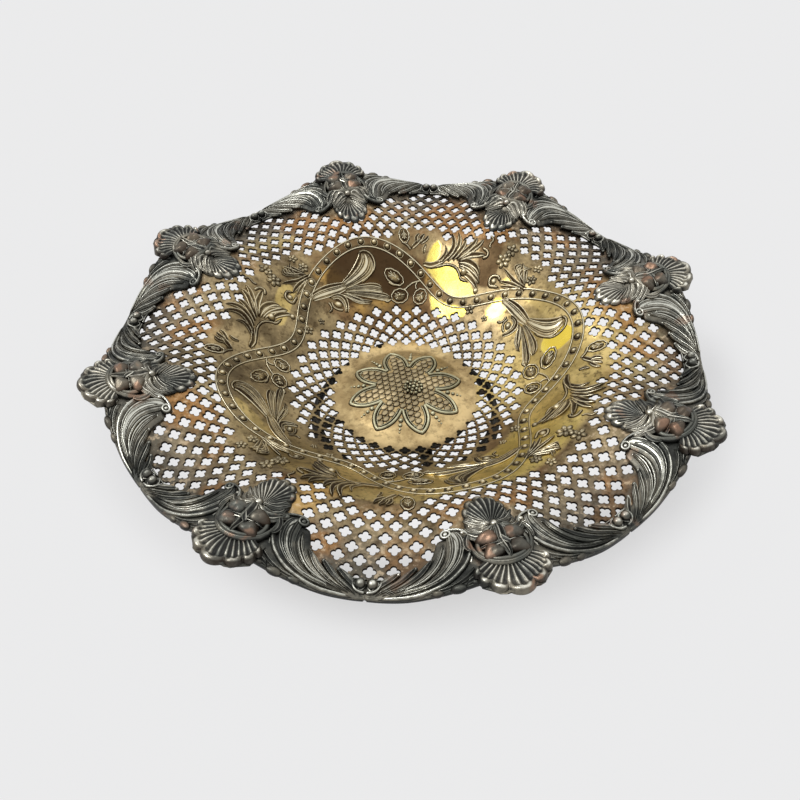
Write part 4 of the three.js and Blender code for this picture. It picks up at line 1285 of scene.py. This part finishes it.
def gilt_sheet():
    """Worn gilding over silver: gold browned in patches, dark round the piercings and towards the rim,
    with painted light: bright painted reflection on the polished reserves, warmer gold where it is
    painted as lit, painted dark shade, and painted glints on the outer lattice. Distances from the
    axis are in metres."""
    look = Look("gilt_sheet")
    cloudy, broad, fine = look.noise(30, 6, 0.7), look.noise(13, 5, 0.65), look.noise(260, 5, 0.65)
    polish_and_light, stain, radius = look.mark("wear_and_sheen"), look.mark("stain"), look.radius()
    disc = 1 - look.between(radius, 0.042, 0.052)
    outside = look.between(radius, 0.112, 0.125)
    disc_gold = look.mix(look.between(cloudy, 0.4, 0.6), (0.42, 0.3, 0.14), (0.74, 0.56, 0.28))
    # Warmer gold where the sheet's mark is painted as lit
    lit_warm = look.between(polish_and_light + (broad - 0.5) * 0.4, 0.2, 0.6)
    lit_gold = look.mix(look.between(cloudy, 0.4, 0.62), (0.42, 0.31, 0.11), (0.72, 0.55, 0.22))
    # Painted reflection: bright yellow on the polished reserves
    painted_bright = look.between(polish_and_light + (cloudy - 0.5) * 0.12, 0.55, 0.8)
    reflection_gold = look.mix(look.between(broad, 0.4, 0.6), (0.86, 0.64, 0.09), (0.9, 0.73, 0.18))
    # Painted shade: dark brown where the sheet's mark is below 0
    painted_dark = look.between(0 - polish_and_light + (broad - 0.5) * 0.3, 0.15, 0.6)
    by_border = look.between(radius + (cloudy - 0.5) * 0.04, 0.144, 0.157)
    rim_side = look.between(radius + (cloudy - 0.5) * 0.04, 0.118, 0.156)
    tinted = look.between(look.noise(26, 4, 0.6), 0.46, 0.6) * (outside * 0.85)
    specks = look.between(fine, 0.5, 0.68) * (0.7 - 0.6 * painted_bright) * (1 - 0.4 * disc)
    # Painted glints: pale specks on the outer lattice
    rubbed_and_glints = look.between(0.5 - fine, 0.04, 0.14) * outside * 0.5
    dark = look.clamped(stain + (fine - 0.5) * 0.6 * stain)
    gold = look.coats(
        look.mix(look.between(cloudy, 0.36, 0.64), (0.14, 0.103, 0.054), (0.42, 0.32, 0.165)),
        (look.between(broad, 0.5, 0.66) * 0.75, (0.15, 0.075, 0.03)),
        (look.between(look.noise(19, 3, 0.5), 0.62, 0.74) * 0.8, (0.62, 0.37, 0.1)),
        (disc * 0.75, disc_gold),
        (lit_warm, lit_gold),
        (painted_bright, reflection_gold),
        (painted_dark * 0.9, (0.062, 0.036, 0.017)),
        (rim_side * 0.66, (0.19, 0.17, 0.14)),
        (tinted, (0.35, 0.18, 0.065)),
        (by_border * 0.68, (0.045, 0.047, 0.044)),
        (specks, (0.05, 0.03, 0.014)),
        (rubbed_and_glints, (0.66, 0.52, 0.35)),
        (dark, (0.018, 0.013, 0.009)),
    )
    rough = look.clamped(0.24 + 0.3 * fine + 0.3 * dark - 0.15 * painted_bright)
    ground = look.noise(130, 3) * (2.2 * look.between(radius, 0.07, 0.076) * (1 - painted_bright))
    return look.finish(gold, 1.0, rough, fine + 0.6 * look.noise(900, 2) + ground, 0.17, 0.0003)


def gilt_relief(name, crest_colour, middle_dark, middle_pale):
    """Chased work: pale on the crests, brown flanks, dark hollows and lines."""
    look = Look(name)
    wear_and_sheen, lines = look.mark("wear_and_sheen"), look.engraved()
    cloudy, fine = look.noise(48, 5, 0.6), look.noise(420, 5, 0.65)
    height = wear_and_sheen + (fine - 0.5) * 0.4 + (cloudy - 0.5) * 0.5
    crest = look.between(height, 0.72, 1.12)
    middle = look.mix(look.between(cloudy, 0.4, 0.6), middle_dark, middle_pale)
    gold = look.coats(
        (0.025, 0.014, 0.006),
        (look.between(height, 0.15, 0.7), middle),
        (crest, crest_colour),
        (lines * 0.75, (0.06, 0.038, 0.016)),
    )
    rough = look.clamped(0.5 - 0.26 * crest + 0.14 * fine)
    return look.finish(gold, 1.0, rough, fine - 1.5 * lines, 0.22, 0.0003)


def worn_silver(name, crest_colour, hollow_colour, copper, shade=1.0):
    """Oxidised cast silver: near black in the hollows and cut lines, olive and brown on the flanks,
    pale on the crests, and reddish where it is rubbed through. copper is how much of that shows, and
    shade how light the flanks are."""
    look = Look(name)
    wear_and_sheen, stain, lines = look.mark("wear_and_sheen"), look.mark("stain"), look.engraved()
    cloudy, fine = look.noise(46, 6, 0.65), look.noise(380, 5, 0.7)
    height = wear_and_sheen + (fine - 0.5) * 0.5 + (cloudy - 0.5) * 1.1
    flank = look.between(height, 0.16, 0.62)
    crest = look.between(height, 0.74, 1.08)
    olive, brown = ([shade * c for c in tone] for tone in ((0.093, 0.096, 0.084), (0.178, 0.164, 0.13)))
    bronze = look.clamped(stain * 1.3 - 0.3) * look.between(look.noise(30, 2), 0.35, 0.6)
    rubbed_and_glints = look.clamped(look.between(look.noise(62, 3, 0.5) + stain * 0.09, 0.62, 0.7) * flank)
    colour = look.coats(
        hollow_colour,
        (flank, look.mix(look.between(cloudy, 0.4, 0.6), olive, brown)),
        (crest, crest_colour),
        (bronze * 0.6, (0.08, 0.05, 0.03)),
        (rubbed_and_glints * copper, (0.3, 0.18, 0.12)),
        (lines * 0.8, hollow_colour),
    )
    metallic = look.clamped(0.65 + 0.35 * flank)
    rough = look.clamped(0.34 - 0.18 * crest + 0.16 * fine)
    return look.finish(colour, metallic, rough, fine + 0.5 * look.noise(1200, 2) - 1.5 * lines, 0.3, 0.0004)


# Pieces

gilt = gilt_sheet()
relief = gilt_relief("gilt_relief", (0.84, 0.76, 0.54), (0.15, 0.12, 0.07), (0.34, 0.26, 0.13))
pale_relief = gilt_relief("pale_relief", (0.74, 0.72, 0.5), (0.27, 0.25, 0.155), (0.42, 0.385, 0.24))
net_relief = gilt_relief("net_relief", (0.72, 0.62, 0.4), (0.38, 0.31, 0.185), (0.58, 0.47, 0.28))
border_silver = worn_silver("oxidised_border", (0.68, 0.68, 0.6), (0.014, 0.015, 0.013), copper=0.45)
shell_silver = worn_silver("oxidised_shell", (0.74, 0.72, 0.62), (0.016, 0.016, 0.014), copper=0.75,
                           shade=1.35)
# The foot is oxidised, and painted darker than the other castings as the shade under the bowl
foot_silver = worn_silver("oxidised_foot_painted_shade", (0.12, 0.1, 0.075), (0.012, 0.01, 0.008), copper=0.2,
                          shade=0.3)

make_piece("bowl_sheet", pierced_sheet(), gilt, "gilt_sheet", "bowl_body")
make_piece("ribbon_band", ribbon_band(), gilt, "gilt_sheet")
make_piece("ribbon_studs", ribbon_studs(), relief, "gilt_sheet")
make_piece("medallion", medallion(), pale_relief, "gilt_sheet")
make_piece("medallion_net", medallion_net(), net_relief, "gilt_sheet")
make_piece("chased_leaves", chased_leaves(), relief, "gilt_sheet")
border, cartouche, bracket = both_sides(border_half()), shell_cartouche(), foot_bracket()
for k in range(LOBES):
    turned = 360 * k / LOBES
    make_piece(f"border_length_{k + 1}", border.turned(turned), border_silver, "oxidised_silver",
               f"rim_border_{k + 1}")
    make_piece(f"shell_and_fruit_{k + 1}", cartouche.turned(turned), shell_silver, "shell_silver",
               f"shell_cartouche_{k + 1}")
make_piece("spun_collar", foot_collar(), foot_silver, "foot_silver", "foot_collar")
make_piece("spun_band", foot_band(), foot_silver, "foot_silver", "foot_band")
for k in range(4):
    make_piece(f"scroll_bracket_{k + 1}", bracket.turned(90 * k), foot_silver, "foot_silver",
               f"foot_bracket_{k + 1}")


# Floor, light and camera

PAPER = (0.83, 0.83, 0.835)
CAMERA_TURN = -106.37  # azimuth of the camera from the middle of the rim, in degrees
CAMERA_RISE = 41.08
CAMERA_REACH = 0.4672
RIM_MIDDLE = Vector((0, 0, 0.0799))
AIM_LEFT = math.radians(0.4)
AIM_DOWN = math.radians(5.49)
LENS = 36.135
FLOOR_HALF = 6
SHADOW_SHIFT = 0.085  # how far behind the bowl's axis the middle of the shadow's ring lies, in metres
SHADOW_RING = (0.168, 0.212, 0.25)  # radii where the real shadow begins to show past the painted glow, is deepest and ends


def direction(azimuth, elevation):
    """Unit vector that points to an azimuth and elevation in degrees."""
    a, e = math.radians(azimuth), math.radians(elevation)
    return Vector((math.cos(a) * math.cos(e), math.sin(a) * math.cos(e), math.sin(e)))


def pale_background():
    """A plain pale room: what the camera and the metal see of it, and its even light."""
    room = Look("room", "World")
    camera, glossy, clear = (
        room.node("LightPath", {}, {}, f"Is {kind} Ray") for kind in ("Camera", "Glossy", "Transmission")
    )
    seen = room.maths("MAXIMUM", room.maths("MAXIMUM", camera, glossy), clear)
    light, shown = (
        room.node("Background", {}, {"Color": (*colour, 1)}) for colour in ((0.62, 0.62, 0.63), PAPER)
    )
    bpy.context.scene.world = room.show(room.node("MixShader", {}, {"Fac": seen, 1: light, 2: shown}))


def floor():
    """Pale paper. The camera sees it as plain paper, with the bowl's own shadow on it close to the rim,
    and painted brighter under the bowl, a glow that hides the shadow there.
    """
    look = Look("paper")
    colour = look.mix(look.noise(9, 2), (0.74, 0.74, 0.745), (0.75, 0.75, 0.755))
    lit = look.node("BsdfDiffuse", {}, {"Color": colour})
    behind = SHADOW_SHIFT * direction(CAMERA_TURN + 180, 0)
    away = look.length(look.node("VectorMath", {"operation": "SUBTRACT"}, {0: look.place(), 1: behind}))
    begin, deepest, end = SHADOW_RING
    # Painted light: seen through the piercings the paper glows brighter and hides the bowl's shadow
    through = 1 - look.between(away, begin, deepest)
    near = through + look.between(away, deepest, end)
    painted_bright = look.mix(through, PAPER, (0.875, 0.87, 0.872))
    plain = look.node("Emission", {}, {"Color": painted_bright, "Strength": 1.0})
    seen = look.node("LightPath", {}, {}, "Is Camera Ray") * (0.6 + 0.38 * near)
    paper = look.show(look.node("MixShader", {}, {"Fac": seen, 1: lit, 2: plain}))
    mesh = bpy.data.meshes.new("floor")
    corners = [(-1, -1, 0), (1, -1, 0), (1, 1, 0), (-1, 1, 0)]
    mesh.from_pydata([(x * FLOOR_HALF, y * FLOOR_HALF, z) for x, y, z in corners], [], [(0, 1, 2, 3)])
    mesh.materials.append(paper)
    ground = bpy.data.objects.new("floor", mesh)
    bpy.context.scene.collection.objects.link(ground)


def sun(name, azimuth, elevation, strength, spread):
    """A soft even light that comes from an azimuth and elevation in degrees."""
    light = bpy.data.lights.new(name, "SUN")
    light.energy = strength
    light.angle = math.radians(spread)
    lamp = bpy.data.objects.new(name, light)
    lamp.rotation_mode = "QUATERNION"
    lamp.rotation_quaternion = direction(azimuth, elevation).to_track_quat("Z", "Y")
    bpy.context.scene.collection.objects.link(lamp)


def photograph_camera():
    """The camera looks at the rim's middle, then is aimed a little to the left and down."""
    back = direction(CAMERA_TURN, CAMERA_RISE)
    forward = -back
    right = forward.cross(Vector((0, 0, 1))).normalized()
    up = right.cross(forward)
    c, s = math.cos(AIM_LEFT), math.sin(AIM_LEFT)
    forward, right = forward * c - right * s, right * c + forward * s
    c, s = math.cos(AIM_DOWN), math.sin(AIM_DOWN)
    forward, up = forward * c - up * s, up * c + forward * s
    camera = bpy.data.cameras.new("camera")
    camera.lens = LENS
    camera.sensor_width = 36
    camera.clip_start = 0.01
    camera.clip_end = 50
    stand = bpy.data.objects.new("camera", camera)
    turn = Matrix((right, up, -forward)).transposed()
    stand.matrix_world = Matrix.Translation(RIM_MIDDLE + back * CAMERA_REACH) @ turn.to_4x4()
    bpy.context.scene.collection.objects.link(stand)
    bpy.context.scene.camera = stand


pale_background()
floor()
sun("window", CAMERA_TURN - 90, elevation=55, strength=1.5, spread=28)
sun("fill", CAMERA_TURN + 150, elevation=60, strength=0.35, spread=60)
photograph_camera()
bpy.context.scene.view_settings.view_transform = "Standard"
